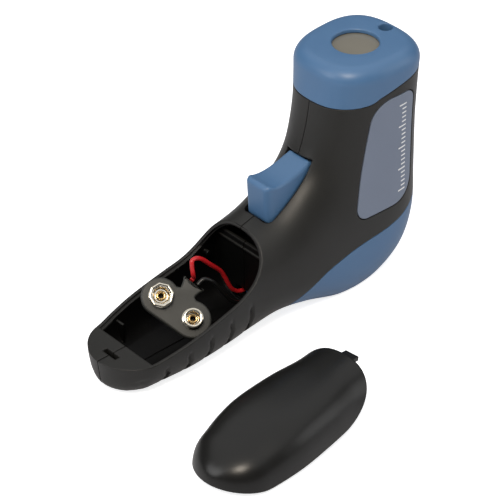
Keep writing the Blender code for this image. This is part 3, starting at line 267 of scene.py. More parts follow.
def turned(name, profile, place, steps=64, way=(0, 0, 1)):
    """A solid of revolution: radius and height pairs turned about `way`."""
    profile = np.asarray(profile, float)
    way = unit(way)
    side = unit(np.cross(way, ASKEW))
    other = np.cross(way, side)
    turn = np.linspace(0, 2 * pi, steps, endpoint=False)
    around = np.cos(turn)[:, None] * side + np.sin(turn)[:, None] * other
    rings = (np.asarray(place) + np.maximum(profile[:, :1], 1e-6)[:, :, None] * around
             + profile[:, 1:][:, :, None] * way)
    return closed_grid(name, rings)


def remove(*solids):
    """Delete helper solids that have done their work."""
    for solid in solids:
        bpy.data.objects.remove(solid, do_unlink=True)


def carve(solid, *steps):
    """Apply Boolean steps in turn; each is an operation, a cutter and if it stays."""
    for operation, cutter, _ in steps:
        modifier = solid.modifiers.new(operation, "BOOLEAN")
        modifier.operation = operation
        modifier.solver = "MANIFOLD"
        modifier.object = cutter
    bpy.context.view_layer.update()
    graph = bpy.context.evaluated_depsgraph_get()
    mesh = bpy.data.meshes.new_from_object(solid.evaluated_get(graph))
    solid.modifiers.clear()
    solid.data = mesh
    remove(*[cutter for _, cutter, stays in steps if not stays])
    return solid


def cut(solid, *cutters, stay=False):
    """The solid minus each cutter."""
    return carve(solid, *[("DIFFERENCE", cutter, stay) for cutter in cutters])


def keep(solid, cutter, stay=False):
    """What the solid and the cutter share."""
    return carve(solid, ("INTERSECT", cutter, stay))


def join(solid, *others):
    """The solid plus the others."""
    return carve(solid, *[("UNION", other, False) for other in others])


def smooth(piece, angle=32):
    """Shade smooth, with edges sharper than the angle kept crisp."""
    piece.data.shade_smooth()
    piece.data.set_sharp_from_angle(angle=radians(angle))
    return piece


# %% [markdown]
# ## Outlines
#
# Corners get arcs, and an outline can be grown or shrunk by moving each edge
# sideways, so a lip, a seat or a gap always follows its neighbour.

# %% Outline helpers
def rounded(corners, radii, steps=8):
    """Replace each corner of a closed outline by an arc of its own radius."""
    made = []
    for i, (corner, radius) in enumerate(zip(corners, radii)):
        here = np.array(corner, float)
        if radius == 0:
            made.append(here[None])
            continue
        back = unit(np.array(corners[i - 1]) - here)
        ahead = unit(np.array(corners[(i + 1) % len(corners)]) - here)
        half = np.arccos(np.clip(back @ ahead, -1, 1)) / 2
        centre = here + unit(back + ahead) * radius / sin(half)
        start = here + back * radius / np.tan(half) - centre
        end = here + ahead * radius / np.tan(half) - centre
        sweep = np.arctan2(start[0] * end[1] - start[1] * end[0], start @ end)
        turn = np.linspace(0, sweep, steps + 1)
        made.append(centre + np.stack([start[0] * np.cos(turn) - start[1] * np.sin(turn),
                                       start[0] * np.sin(turn) + start[1] * np.cos(turn)], axis=1))
    return np.vstack(made)


MITRE_LIMIT = 0.3


def grow(outline, distance):
    """Move a closed outline outward by mitring its edges; a minus shrinks it."""
    outline = np.asarray(outline, float)
    ahead = np.roll(outline, -1, axis=0) - outline
    area = (outline[:, 0] * np.roll(outline, -1, axis=0)[:, 1]
            - outline[:, 1] * np.roll(outline, -1, axis=0)[:, 0]).sum()
    normal = np.stack([ahead[:, 1], -ahead[:, 0]], axis=1) * np.sign(area)
    normal /= np.linalg.norm(normal, axis=1)[:, None]
    before = np.roll(normal, 1, axis=0)
    mitre = normal + before
    mitre /= np.linalg.norm(mitre, axis=1)[:, None]
    lengthening = np.maximum((mitre * before).sum(1), MITRE_LIMIT)
    return outline + mitre * (distance / lengthening)[:, None]


# %% [markdown]
# ## The skin
#
# Every outer moulding of the instrument is cut from one swept skin. Each
# section is a superellipse between a front and a back point of the side
# view: its squareness says how boxy it is, and its flare makes one side
# wider than the other. Both ends close by a quarter ellipse, which at the
# butt goes on from the slope of the handle, so no crease shows there. The
# flat that the instrument lies on is where the surface is held at a lowest
# height.

# %% Sections of the skin
# Front x and z, back x and z, half width (all mm), squareness, flare.
BACK_FLAT = -4.6
SECTIONS = (
    (-79.8, 25.4, -77.4, 0.0, 14.75, 2.7, -0.01),
    (-71.0, 28.8, -69.5, 0.0, 16.1, 2.8, -0.03),
    (-62.0, 31.2, -61.0, 0.0, 16.8, 2.9, -0.03),
    (-48.0, 33.6, -47.0, 0.4, 16.6, 2.8, -0.02),
    (-36.0, 35.4, -34.0, 1.2, 16.1, 2.5, 0.02),
    (-27.0, 37.0, -22.0, 2.2, 16.6, 2.4, 0.05),
    (-20.0, 39.0, -9.0, 0.2, 17.7, 2.4, 0.08),
    (-14.0, 42.2, 8.0, BACK_FLAT, 18.6, 2.5, 0.08),
    (-8.4, 46.4, 24.0, BACK_FLAT + 0.6, 18.7, 2.5, 0.08),
    (-4.0, 50.8, 37.0, 4.0, 18.8, 2.5, 0.08),
    (-1.1, 56.0, 42.8, 18.0, 18.6, 2.5, 0.09),
    (1.1, 62.5, 43.2, 37.0, 18.3, 2.5, 0.08),
    (2.6, 69.5, 43.3, 57.0, 18.2, 2.5, 0.07),
    (3.6, 76.5, 43.6, 73.0, 18.5, 2.6, 0.06),
    (4.1, 81.5, 43.8, 81.5, 18.7, 2.7, 0.06),
)
# Rings in each span between two sections: closest along the grip's notches.
SPAN_STEPS = (20, 26, 38, 32, 24, 12, 12, 10, 10, 10, 8, 8, 8, 6)
COLUMNS = 144
END_STEPS = 12
NOSE_HEIGHT = 87.0 * MM
NOSE_ROUND = 5.0 * MM
BUTT_ROUND = 14.4 * MM
BUTT_DEPTH_ROUND = 8.0 * MM
BUTT_RISE = 12.0 * MM
BUTT_SIDE_LEAN = 1.9 * MM
BUTT_DEPTH_LEAN = 1.5 * MM


def end_rings(section, sense, side_radius, depth_radius, rise, side_lean=0.0, depth_lean=0.0):
    """Sections that round off an end: a straight lean plus a quarter ellipse."""
    centre, across, half_depth, half_width, square, flare = section
    angle = np.linspace(0, pi / 2, END_STEPS + 1)[1:]
    onward, inward = np.sin(angle), 1 - np.cos(angle)
    out = sense * np.array([-across[1], across[0]])
    same = np.ones(END_STEPS)
    return (centre + out * (rise * onward)[:, None] + across * (depth_lean * onward)[:, None],
            across * same[:, None],
            half_depth - depth_lean * onward - (depth_radius - depth_lean) * inward,
            half_width - side_lean * onward - (side_radius - side_lean) * inward,
            square * same, flare * same)


# %% Rings of the skin
def skin_points(inset):
    """Rings of the skin moved inward by inset: superellipses of their rows."""
    at = np.concatenate([i + np.arange(n) / n for i, n in enumerate(SPAN_STEPS)]
                        + [[len(SPAN_STEPS)]])
    rows = spline_rows(SECTIONS, at)
    front, back = rows[:, 0:2] * MM, rows[:, 2:4] * MM
    depth = np.linalg.norm(back - front, axis=1)
    parts = [(front + back) / 2, (back - front) / depth[:, None], depth / 2 - inset,
             rows[:, 4] * MM - inset, rows[:, 5], rows[:, 6]]
    butt = end_rings([p[0] for p in parts], -1, BUTT_ROUND - inset, BUTT_DEPTH_ROUND - inset,
                     BUTT_RISE - inset, BUTT_SIDE_LEAN, BUTT_DEPTH_LEAN)
    nose = end_rings([p[-1] for p in parts], 1, NOSE_ROUND - inset, NOSE_ROUND - inset,
                     NOSE_HEIGHT - SECTIONS[-1][1] * MM - inset)
    centre, across, half_depth, half_width, square, flare = (
        np.concatenate([b[::-1], p, n]) for b, p, n in zip(butt, parts, nose))
    turn = np.linspace(0, 2 * pi, COLUMNS, endpoint=False)
    power = (2 / square)[:, None]
    along = np.sign(np.cos(turn)) * np.abs(np.cos(turn)) ** power
    aside = np.sign(np.sin(turn)) * np.abs(np.sin(turn)) ** power
    reach = half_depth[:, None] * along
    x = centre[:, :1] + across[:, :1] * reach
    z = centre[:, 1:] + across[:, 1:] * reach
    y = half_width[:, None] * (1 + flare[:, None] * along) * aside
    return np.stack([x, y, np.maximum(z, inset)], axis=-1)


# %% [markdown]
# The grip has a row of swaying notches. They are pressed into the skin by
# moving its points inward, steep on one side and easing out on the other,
# which gives the soft glints of a moulded grip.

# %% Grip notches
GRIP_NOTCHES = 6
GRIP_PITCH = 9.0 * MM
GRIP_START_X = -83.4 * MM
GRIP_TOP_Z = 9.0 * MM
GRIP_RISE = 0.185
GRIP_SWAY = ((-16.0, 0.0), (-9.0, 0.6), (-4.0, 1.5), (-1.5, 0.9), (0.0, 1.6))
GRIP_DEPTH = 0.8 * MM
GRIP_STEEP = 0.45 * MM
GRIP_EASY = 2.0 * MM
GRIP_FADE = 1.6 * MM
GRIP_MID_FADE = 6.0 * MM
GRIP_MID_START = 0.6


def press_notches(points):
    """Move skin points towards the mid plane where a notch's section is deep."""
    x, y, z = np.moveaxis(points, -1, 0)
    below, shift = np.array(GRIP_SWAY).T * MM
    top = GRIP_TOP_Z + GRIP_RISE * (x - GRIP_START_X)
    lead_x = x - np.interp(z - top, below, shift)
    depth = np.zeros_like(x)
    for i in range(GRIP_NOTCHES):
        off = lead_x - (GRIP_START_X + i * GRIP_PITCH)
        wall = np.clip(1 - off / GRIP_STEEP, 0, 1) * np.clip(1 + off / GRIP_EASY, 0, 1)
        depth = np.maximum(depth, np.where(off < 0, np.clip(1 + off / GRIP_EASY, 0, 1), wall))
    depth *= (np.clip((top - z) / GRIP_FADE, 0, 1)
              * np.clip(np.abs(y) / GRIP_MID_FADE - GRIP_MID_START, 0, 1))
    ease = depth * depth * (3 - 2 * depth)
    pressed = points.copy()
    pressed[..., 1] -= np.sign(y) * ease * GRIP_DEPTH
    return pressed


# %% Skins at several depths
WALL = 2.0 * MM
SEAT_WALL = 3.0 * MM
LIP_DEPTH = 2.5 * MM
GAP = 0.3 * MM
SPLIT = 0.15 * MM

skin = closed_grid("skin", skin_points(0.0))
grip_skin = closed_grid("grip_skin", press_notches(skin_points(0.0)))
inner_skin = closed_grid("inner_skin", skin_points(WALL))
middle_skin = closed_grid("middle_skin", skin_points(WALL / 2))
lip_skin = closed_grid("lip_skin", skin_points(WALL + GAP))
seat_skin = closed_grid("seat_skin", skin_points(SEAT_WALL))
print("skin points:", len(skin.data.vertices), "in rings of", COLUMNS)

# %% [markdown]
# ## The seams
#
# Four seams divide the skin: under the blue cap, round the blue bezel, along
# the battery cover, and down the mid plane.

# %% Seam outlines
HEAD_FRONT_X = 4.1 * MM
HEAD_BACK_X = 43.8 * MM
NOSE_X = 24.0 * MM
CAP_SEAM_FRONT_Z = 72.6 * MM
CAP_SEAM_BACK_Z = 79.0 * MM
CAP_SEAM_BEND = ((-1.0, 0.0), (0.13, 0.1), (0.39, 0.45), (0.69, 0.85), (1.0, 1.0), (2.0, 1.0))
BEZEL_SEAM = ((80.0, 32.0), (44.0, 30.0), (36.0, 26.6), (30.0, 23.6), (22.0, 21.8), (8.0, 20.0),
              (-4.0, 17.0), (-11.5, 13.0), (-16.5, 9.2), (-19.6, 5.4), (-21.0, 0.5), (-21.0, -10.0))
BEZEL_CORNER = (80.0 * MM, -10.0 * MM)
DOOR_SEAM_Z = 13.5 * MM
DOOR_SEAM_RISE = 11.14 * MM
DOOR_SEAM_START_X = -78.0 * MM
DOOR_SEAM_END_X = -27.4 * MM
DOOR_SEAM_BLEND = 20.0 * MM
DOOR_ARCH_R = 21.0 * MM
DOOR_NOTCH_X = -27.6 * MM
DOOR_NOTCH_Z = 44.0 * MM


def cap_seam(shift):
    """A curve through shares of the head's depth and of the seam's rise."""
    share, lift = spline_rows(CAP_SEAM_BEND, np.linspace(0, len(CAP_SEAM_BEND) - 1, 41)).T
    x = HEAD_FRONT_X + share * (HEAD_BACK_X - HEAD_FRONT_X)
    z = CAP_SEAM_FRONT_Z + lift * (CAP_SEAM_BACK_Z - CAP_SEAM_FRONT_Z)
    return np.stack([x, z + shift], axis=1)


def cap_zone(shift):
    """Everything above the cap's seam."""
    return np.vstack([cap_seam(shift), [(2 * HEAD_BACK_X, 3 * REACH), (-REACH, 3 * REACH)]])


def bezel_zone(shift):
    """A curve through the seam's points, closed round one corner and grown."""
    line = spline_rows(BEZEL_SEAM, np.linspace(0, len(BEZEL_SEAM) - 1, 56)) * MM
    return grow(np.vstack([line, [BEZEL_CORNER]]), shift)


def door_zone(shift):
    """Everything above the cover's seam: its slope, arch and notch, grown."""
    corners = [(-3 * REACH, DOOR_SEAM_Z), (DOOR_SEAM_START_X, DOOR_SEAM_Z),
               (DOOR_SEAM_END_X, DOOR_SEAM_Z + DOOR_SEAM_RISE), (DOOR_NOTCH_X, DOOR_NOTCH_Z),
               (DOOR_NOTCH_X, 2 * REACH), (-3 * REACH, 2 * REACH)]
    return grow(rounded(corners, (0, DOOR_SEAM_BLEND, DOOR_ARCH_R, 0, 0, 0), 28), shift)


# %% [markdown]
# ## Finishes
#
# A finish starts from what the real surface is and how it was made. Colours
# are written as the hex values seen in the photograph, turned to linear
# light by one function. One small function adds a node with its settings and
# links, so that each material below reads as a list of what it is made of.

# %% Material helpers
def colour(code, alpha=1.0):
    """Linear colour of an sRGB hex value."""
    value = np.array([int(code[i:i + 2], 16) for i in (1, 3, 5)]) / 255
    low, high = value / 12.92, ((value + 0.055) / 1.055) ** 2.4
    return (*np.where(value <= 0.04045, low, high).tolist(), alpha)


def feed(tree, node, inputs):
    """Give a node's sockets their values, or the sockets they are linked to."""
    for key, value in dict(inputs).items():
        if isinstance(value, bpy.types.NodeSocket):
            tree.links.new(value, node.inputs[key])
        else:
            node.inputs[key].default_value = value
    return node


def add(tree, kind, inputs=(), **settings):
    """Add a shader node with its settings and its inputs."""
    node = tree.nodes.new("ShaderNode" + kind)
    for key, value in settings.items():
        setattr(node, key, value)
    return feed(tree, node, inputs)


def new_material(name):
    """An empty material, its nodes, its shader and its object coordinates."""
    made = bpy.data.materials.new(name)
    made.use_nodes = True
    tree = made.node_tree
    tree.nodes.clear()
    shader = add(tree, "BsdfPrincipled")
    add(tree, "OutputMaterial", {"Surface": shader.outputs["BSDF"]})
    place = add(tree, "TexCoord").outputs["Object"]
    return made, tree, shader, place


# %% [markdown]
# Moulded plastic takes the fine grain of its mould, and its colour and gloss
# drift a little over a few millimetres. Metal shows wear scratches.

# %% Plastic and metal
MOTTLE_MM = 14.0
GLOSS_DRIFT = 0.05


def moulded(name, base, worn, roughness, grain_mm, relief_mm, edge_mm=0.35, gleam=0.5):
    """Moulded plastic: spark grain as bump, faint mottle in colour and gloss."""
    made, tree, shader, place = new_material(name)
    grain = add(tree, "TexNoise", {"Vector": place, "Scale": 1 / (grain_mm * MM),
                                   "Detail": 3.0, "Roughness": 0.6})
    mottle = add(tree, "TexNoise", {"Vector": place, "Scale": 1 / (MOTTLE_MM * MM),
                                    "Detail": 4.0})
    mix = add(tree, "Mix", {"Factor": mottle.outputs["Fac"], "A": colour(base),
                            "B": colour(worn)}, data_type="RGBA")
    gloss = add(tree, "MapRange", {"Value": mottle.outputs["Fac"],
                                   "To Min": roughness - GLOSS_DRIFT,
                                   "To Max": roughness + GLOSS_DRIFT})
    edge = add(tree, "Bevel", {"Radius": edge_mm * MM}, samples=6)
    bump = add(tree, "Bump", {"Height": grain.outputs["Fac"], "Distance": relief_mm * MM,
                              "Strength": 1.0, "Normal": edge.outputs["Normal"]})
    feed(tree, shader, {"Base Color": mix.outputs["Result"], "Roughness": gloss.outputs["Result"],
                        "Normal": bump.outputs["Normal"], "Specular IOR Level": gleam})
    return made


SHELL_EDGE_MM = 0.7
OUTER_GLEAM = 0.36
BAY_SHADE_GLEAM = 0.12


def moulded_with_painted_bay_shade(name, base, worn, roughness, grain_mm, relief_mm, inside):
    """The same plastic, whose faces marked as inside the bay get a painted shade: near black, less
    glossy.
    """
    made = moulded(name, base, worn, roughness, grain_mm, relief_mm, SHELL_EDGE_MM)
    tree = made.node_tree
    shader = next(node for node in tree.nodes if node.type == "BSDF_PRINCIPLED")
    outer = shader.inputs["Base Color"].links[0].from_socket
    # Marked bay faces get painted shade: a near-black colour and a lower specular level.
    mark = add(tree, "Attribute", attribute_name="inside")
    mix = add(tree, "Mix", {"Factor": mark.outputs["Fac"], "A": outer, "B": colour(inside)},
              data_type="RGBA")
    shine = add(tree, "MapRange", {"Value": mark.outputs["Fac"], "To Min": OUTER_GLEAM,
                                   "To Max": BAY_SHADE_GLEAM})
    feed(tree, shader, {"Base Color": mix.outputs["Result"],
                        "Specular IOR Level": shine.outputs["Result"]})
    return made


SCRATCH_DEPTH = 0.01 * MM
BRIGHTEST, DULLEST = 0.6, 1.5


def metal(name, base, tint, roughness, scratch_mm):
    """Plated or turned metal: fine wear scratches vary its tint and gloss."""
    made, tree, shader, place = new_material(name)
    wear = add(tree, "TexNoise", {"Vector": place, "Scale": 1 / (scratch_mm * MM),
                                  "Detail": 5.0, "Distortion": 0.6})
    mix = add(tree, "Mix", {"Factor": wear.outputs["Fac"], "A": colour(base),
                            "B": colour(tint)}, data_type="RGBA")
    gloss = add(tree, "MapRange", {"Value": wear.outputs["Fac"],
                                   "To Min": roughness * BRIGHTEST,
                                   "To Max": roughness * DULLEST})
    bump = add(tree, "Bump", {"Height": wear.outputs["Fac"], "Distance": SCRATCH_DEPTH})
    feed(tree, shader, {"Base Color": mix.outputs["Result"], "Roughness": gloss.outputs["Result"],
                        "Normal": bump.outputs["Normal"], "Metallic": 1.0})
    return made


# %% [markdown]
# The dark shells are spark-textured ABS, which scatters light softly; inside
# the battery bay the same plastic gets a painted shade, nearly black and less
# glossy, where little light reaches. The cover is a little glossier. The blue
# mouldings are ABS too, pigmented, with a satin finish. The panel is a matt
# printed inlay, the window smoked acrylic. The snap connector is soft vinyl,
# its contacts bright nickel plate over brass. The grain of such a texture is
# about 0.1 mm across; it is drawn at 0.5 mm so that it shows at this picture's
# size.

# %% Materials
# The last colour, #060606, is painted shade for the marked faces of the battery bay.
shell_abs_with_bay_shade = moulded_with_painted_bay_shade("shell_spark_textured_abs_with_painted_bay_shade", "#1a1a19", "#212120", 0.42, 0.5,
                                0.012, "#060606")
cover_abs = moulded("cover_satin_abs", "#0e0e0e", "#131312", 0.33, 0.5, 0.008, 0.6, 0.36)
blue_abs = moulded("blue_satin_abs", "#42668e", "#4a6e95", 0.40, 0.5, 0.008)
trigger_abs = moulded("trigger_satin_abs", "#41658c", "#496c93", 0.38, 0.5, 0.008)
panel_film = moulded("panel_matt_inlay", "#6a7589", "#707b8f", 0.45, 0.4, 0.004)
inner_nylon = moulded("black_moulded_nylon", "#0b0b0b", "#101010", 0.45, 0.5, 0.01)
window_acrylic = moulded("smoked_acrylic", "#6f6d66", "#76746c", 0.22, 3.0, 0.001)
print_white = moulded("white_screen_print", "#e9ebee", "#dfe2e6", 0.5, 0.4, 0.002, 0.05)
snap_vinyl = moulded("soft_moulded_vinyl", "#2a2b29", "#333431", 0.55, 0.6, 0.015)
red_pvc = moulded("red_wire_pvc", "#b5161c", "#c2242a", 0.3, 0.8, 0.004, 0.05)
black_pvc = moulded("black_wire_pvc", "#0c0c0c", "#141414", 0.32, 0.8, 0.004, 0.05)
rubber_strip = moulded("contact_strip_silicone", "#1d1d1c", "#2a2a28", 0.6, 0.4, 0.01)
board_mask = moulded("board_solder_mask", "#15492c", "#1f5a38", 0.35, 1.2, 0.01)
ribbon_pvc = moulded("flat_cable_pvc", "#6b7080", "#767b8b", 0.45, 0.8, 0.006)
nickel = metal("bright_nickel_plate", "#dcd7cc", "#c6bfae", 0.14, 0.8)
eyelet_brass = metal("brass_eyelet", "#d9c08c", "#8f6c3c", 0.2, 0.5)
brass = metal("turned_brass", "#b08d48", "#9c7a3a", 0.25, 0.7)
zinc = metal("zinc_plated_steel", "#9a9c9e", "#85878a", 0.3, 0.5)


def dress(piece, finish, replaced=(), body="instrument"):
    """Give a finished piece its material and body, and hide the frame nodes it replaces."""
    piece.data.materials.clear()
    piece.data.materials.append(finish)
    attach(piece, body)
    if replaced:
        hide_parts(*replaced)
    print(piece.name, "is", finish.name)
    return piece


# %% [markdown]
# ## The dark shells
#
# Each shell is half of the skin, hollowed out, with the blue mouldings and
# the cover cut away. Inside stand the bosses, the shelves of the sensor
# board, the deck of the trigger, the ribs of the bay, a thin bar across its
# bulkhead and a small nib on its far wall. Long cuts come first on the whole
# skin, so that both halves share them.

# %% Hollow skin
BAY_START_X = -79.0 * MM
BAY_END_X = -26.8 * MM
BULKHEAD = 1.2 * MM
BAY_FLOOR_Z = 3.5 * MM
BULKHEAD_TOP_Z = 29.6 * MM
LEDGE_THICK = 2.2 * MM

bulkhead_end = BAY_END_X + BULKHEAD
cavity = prism("cavity", [(BAY_START_X, BAY_FLOOR_Z), (BAY_END_X, BAY_FLOOR_Z),
                          (BAY_END_X, BULKHEAD_TOP_Z), (bulkhead_end, BULKHEAD_TOP_Z),
                          (bulkhead_end, -REACH), (2 * REACH, -REACH), (2 * REACH, 4 * REACH),
                          (BAY_START_X, 4 * REACH)])
keep(cavity, inner_skin, stay=True)
butt_space = block("butt_space", (-3 * REACH, -REACH, -REACH),
                   (BAY_START_X - WALL, REACH, DOOR_SEAM_Z - GAP - LEDGE_THICK))
keep(butt_space, inner_skin, stay=True)
hollow = new_object("hollow", grip_skin.data.copy())
cut(hollow, cavity, butt_space, prism("cap_cut", cap_zone(-GAP)),
    prism("bezel_cut", bezel_zone(GAP)), prism("door_cut", door_zone(GAP)))
REBATE_DEPTH = 0.9 * MM
REBATE_INSET = 1.1 * MM
rebate = prism("rebate", door_zone(GAP + REBATE_DEPTH))
keep(rebate, closed_grid("rebate_skin", skin_points(REBATE_INSET)))
cut(rebate, block("rebate_end", (-3 * REACH, -REACH, -REACH), (BAY_START_X, REACH, 3 * REACH)))
cut(hollow, rebate)
print("hollow skin faces:", len(hollow.data.polygons))

# %% Bosses, shelves and ribs
SCREW_PLACES = np.array(((37.0, 36.5), (10.0, 65.0), (-22.0, 17.4), (-84.2, 6.6))) * MM
BOSS_RADIUS = 3.9 * MM
PILOT_BOSS_RADIUS = 2.8 * MM
SCREW_HEAD_R = 2.5 * MM
SCREW_SHANK_R = 1.2 * MM
SCREW_SEAT_Y = 6.0 * MM
SCREW_DEPTH = 8.0 * MM
TRIGGER_PIVOT = (3.0 * MM, 48.0 * MM)
TRIGGER_TIP = (-21.4 * MM, 51.5 * MM)
TRIGGER_ROOT = (-1.6 * MM, 53.0 * MM)
TRIGGER_HALF_WIDTH = 5.9 * MM
TRIGGER_ROOT_HALF_WIDTH = 5.3 * MM
TRIGGER_FRONT_R = 2.6 * MM
PIN_R = 1.2 * MM
PIN_HALF_LENGTH = 10.4 * MM
PIN_BOSS_R = 2.6 * MM
PIN_BOSS_GAP = 0.8 * MM
SHELF_X = (12.0 * MM, 33.0 * MM)
SHELF_THICK = 2.0 * MM
SHELF_START_Y = 6.4 * MM
SHELF_BELOW = 5.3 * MM
SHELF_ABOVE = 3.9 * MM
SENSOR_BOARD_Z = 56.4 * MM
SENSOR_BOARD_THICK = 1.6 * MM
DECK_X = (-22.0 * MM, -5.0 * MM)
DECK_Z = 24.0 * MM
DECK_THICK = 2.0 * MM
STOP_RIB_Y = (10.0 * MM, 11.2 * MM)
STOP_RIB_LENGTH = 3.0 * MM
# Each wall rib: x, thickness and top in mm, then its side.
RIB_LINES = ((-71.6, 0.8, 12.2, 1), (-60.0, 0.8, 6.0, -1))
BAR_Z = (27.0 * MM, 27.6 * MM)
BAR_END_Y = (-9.5 * MM, 13.0 * MM)
BAR_PROUD = 0.7 * MM
NIB = (-32.1 * MM, 21.3 * MM)
NIB_START_Y = 12.0 * MM
NIB_R = 0.9 * MM
RIB_START_Y = 10.5 * MM


def across(name, place, start, end, radius, steps=40):
    """A cylinder along Y at a side-view place."""
    return turned(name, [(radius, 0), (radius, end - start)], (place[0], start, place[1]), steps,
                  (0, 1, 0))


def one_side(side, near, far=REACH):
    """Lowest and highest y of what stands on one side, from near to far."""
    return sorted((side * near, side * far))


def ribs(side):
    """Everything that stands on one shell's inner wall, as one solid."""
    radius = BOSS_RADIUS if side > 0 else PILOT_BOSS_RADIUS
    low, high = one_side(side, SPLIT)
    solids = [across("boss", place, low, high, radius) for place in SCREW_PLACES]
    low, high = one_side(side, TRIGGER_HALF_WIDTH + PIN_BOSS_GAP)
    solids.append(across("pin_boss", TRIGGER_PIVOT, low, high, PIN_BOSS_R))
    low, high = one_side(side, SHELF_START_Y)
    for x in SHELF_X:
        for foot, top in ((-SHELF_BELOW, -GAP), (SENSOR_BOARD_THICK + GAP, SHELF_ABOVE)):
            solids.append(block("shelf", (x, low, SENSOR_BOARD_Z + foot),
                                (x + SHELF_THICK, high, SENSOR_BOARD_Z + top)))
    low, high = one_side(side, SPLIT)
    solids.append(block("deck", (DECK_X[0], low, DECK_Z - DECK_THICK), (DECK_X[1], high, DECK_Z)))
    low, high = one_side(side, *STOP_RIB_Y)
    solids.append(block("stop_rib", (BAY_START_X - MM, low, BAY_FLOOR_Z - MM),
                        (BAY_START_X + STOP_RIB_LENGTH, high, DOOR_SEAM_Z - 2 * LEDGE_THICK)))
    low, high = one_side(side, RIB_START_Y)
    for x, thick, top, where in RIB_LINES:
        if side == where:
            solids.append(block("wall_rib", (x * MM, low, BAY_FLOOR_Z - MM),
                                ((x + thick) * MM, high, top * MM)))
    low, high = sorted((side * SPLIT, BAR_END_Y[side > 0]))
    solids.append(block("bar", (BAY_END_X - BAR_PROUD, low, BAR_Z[0]),
                        (BAY_END_X + GAP, high, BAR_Z[1])))
    if side > 0:
        solids.append(across("nib", NIB, NIB_START_Y, REACH, NIB_R))
    return keep(join(solids[0], *solids[1:]), middle_skin, stay=True)


# %% Cut the two shells
TRIGGER_SLOT_GAP = 0.6 * MM
TRIGGER_SLOT_HEIGHT = (33.0 * MM, 53.9 * MM)
TRIGGER_SLOT_BACK_X = 1.4 * MM
SLOT_X = -85.0 * MM
SLOT_LENGTH = 6.6 * MM
SLOT_WIDTH = 2.0 * MM
SLOT_Z = (9.0 * MM, 16.0 * MM)
LEAD_HOLE_HALF_Y = 4.5 * MM
LEAD_HOLE_Z = (5.2 * MM, 10.2 * MM)
LEAD_HOLE_LENGTH = 4.0 * MM
PANEL_CORNERS = np.array(((16.6, 73.2), (34.4, 73.2), (33.6, 30.2), (8.0, 30.2))) * MM
PANEL_RADII = np.array((8.5, 4.5, 9.0, 4.0)) * MM
PANEL_GAP = 0.45 * MM
PANEL_DEPTH = 0.6 * MM
PANEL_INNER_Y = -9.35 * MM


def panel_outline(shift):
    """The panel's corners with their arcs, grown."""
    return grow(rounded(PANEL_CORNERS, PANEL_RADII, 14), shift)


def trigger_slot():
    """The trigger's top view, grown by the gap and carried up as a shaft."""
    wide = TRIGGER_HALF_WIDTH + TRIGGER_SLOT_GAP
    narrow = TRIGGER_ROOT_HALF_WIDTH + TRIGGER_SLOT_GAP
    front = TRIGGER_TIP[0] - TRIGGER_SLOT_GAP
    corners = [(front, -wide), (TRIGGER_SLOT_BACK_X, -narrow), (TRIGGER_SLOT_BACK_X, narrow),
               (front, wide)]
    plan = rounded(corners, (TRIGGER_FRONT_R, 0, 0, TRIGGER_FRONT_R), 12)
    rings = [np.insert(plan, 2, z, axis=1) for z in TRIGGER_SLOT_HEIGHT]
    return closed_grid("trigger_slot", np.stack(rings))


# %% One shell
def shell(name, side):
    """One half of the hollow skin with its ribs, bores and openings."""
    low, high = one_side(side, SPLIT)
    half = new_object(name, hollow.data.copy())
    keep(half, block("half_space", (-3 * REACH, low, -REACH), (2 * REACH, high, 3 * REACH)))
    join(half, ribs(side))
    bores = []
    for place in SCREW_PLACES:
        start = -REACH if side > 0 else -SCREW_DEPTH - GAP
        bores.append(across("screw_bore", place, start, REACH, SCREW_SHANK_R + GAP))
        if side > 0:
            bores.append(across("screw_well", place, SCREW_SEAT_Y, REACH, SCREW_HEAD_R + GAP))
    reach = PIN_HALF_LENGTH + GAP
    bores.append(across("pin_bore", TRIGGER_PIVOT, -reach, reach, PIN_R + GAP))
    bores.append(trigger_slot())
    bores.append(block("latch_slot", (SLOT_X - SLOT_WIDTH / 2, -SLOT_LENGTH / 2, SLOT_Z[0]),
                       (SLOT_X + SLOT_WIDTH / 2, SLOT_LENGTH / 2, SLOT_Z[1])))
    bores.append(block("lead_hole", (BAY_END_X - MM, -LEAD_HOLE_HALF_Y, LEAD_HOLE_Z[0]),
                       (BAY_END_X + LEAD_HOLE_LENGTH, LEAD_HOLE_HALF_Y, LEAD_HOLE_Z[1])))
    if side < 0:
        recess = prism("panel_recess", panel_outline(PANEL_GAP), -REACH, PANEL_INNER_Y)
        cut(recess, closed_grid("recess_skin", skin_points(PANEL_DEPTH + GAP)))
        bores.append(recess)
    return smooth(cut(half, *bores))


# %% [markdown]
# The bay's inner walls see little light, and that shade is painted: they are
# marked on the faces, as a number that the material reads, and it paints them
# nearly black and less glossy. The marked faces are those of the bay that look
# towards the mid plane, up from its floor or along it, and lie below its rim.

# %% Mark the bay faces for painted shade
INSIDE_RIM = 1.6 * MM
INSIDE_LOW = 9.0 * MM
INSIDE_HALF_Y = 14.6 * MM
FACES_ALONG, FACES_UP = 0.5, 0.3


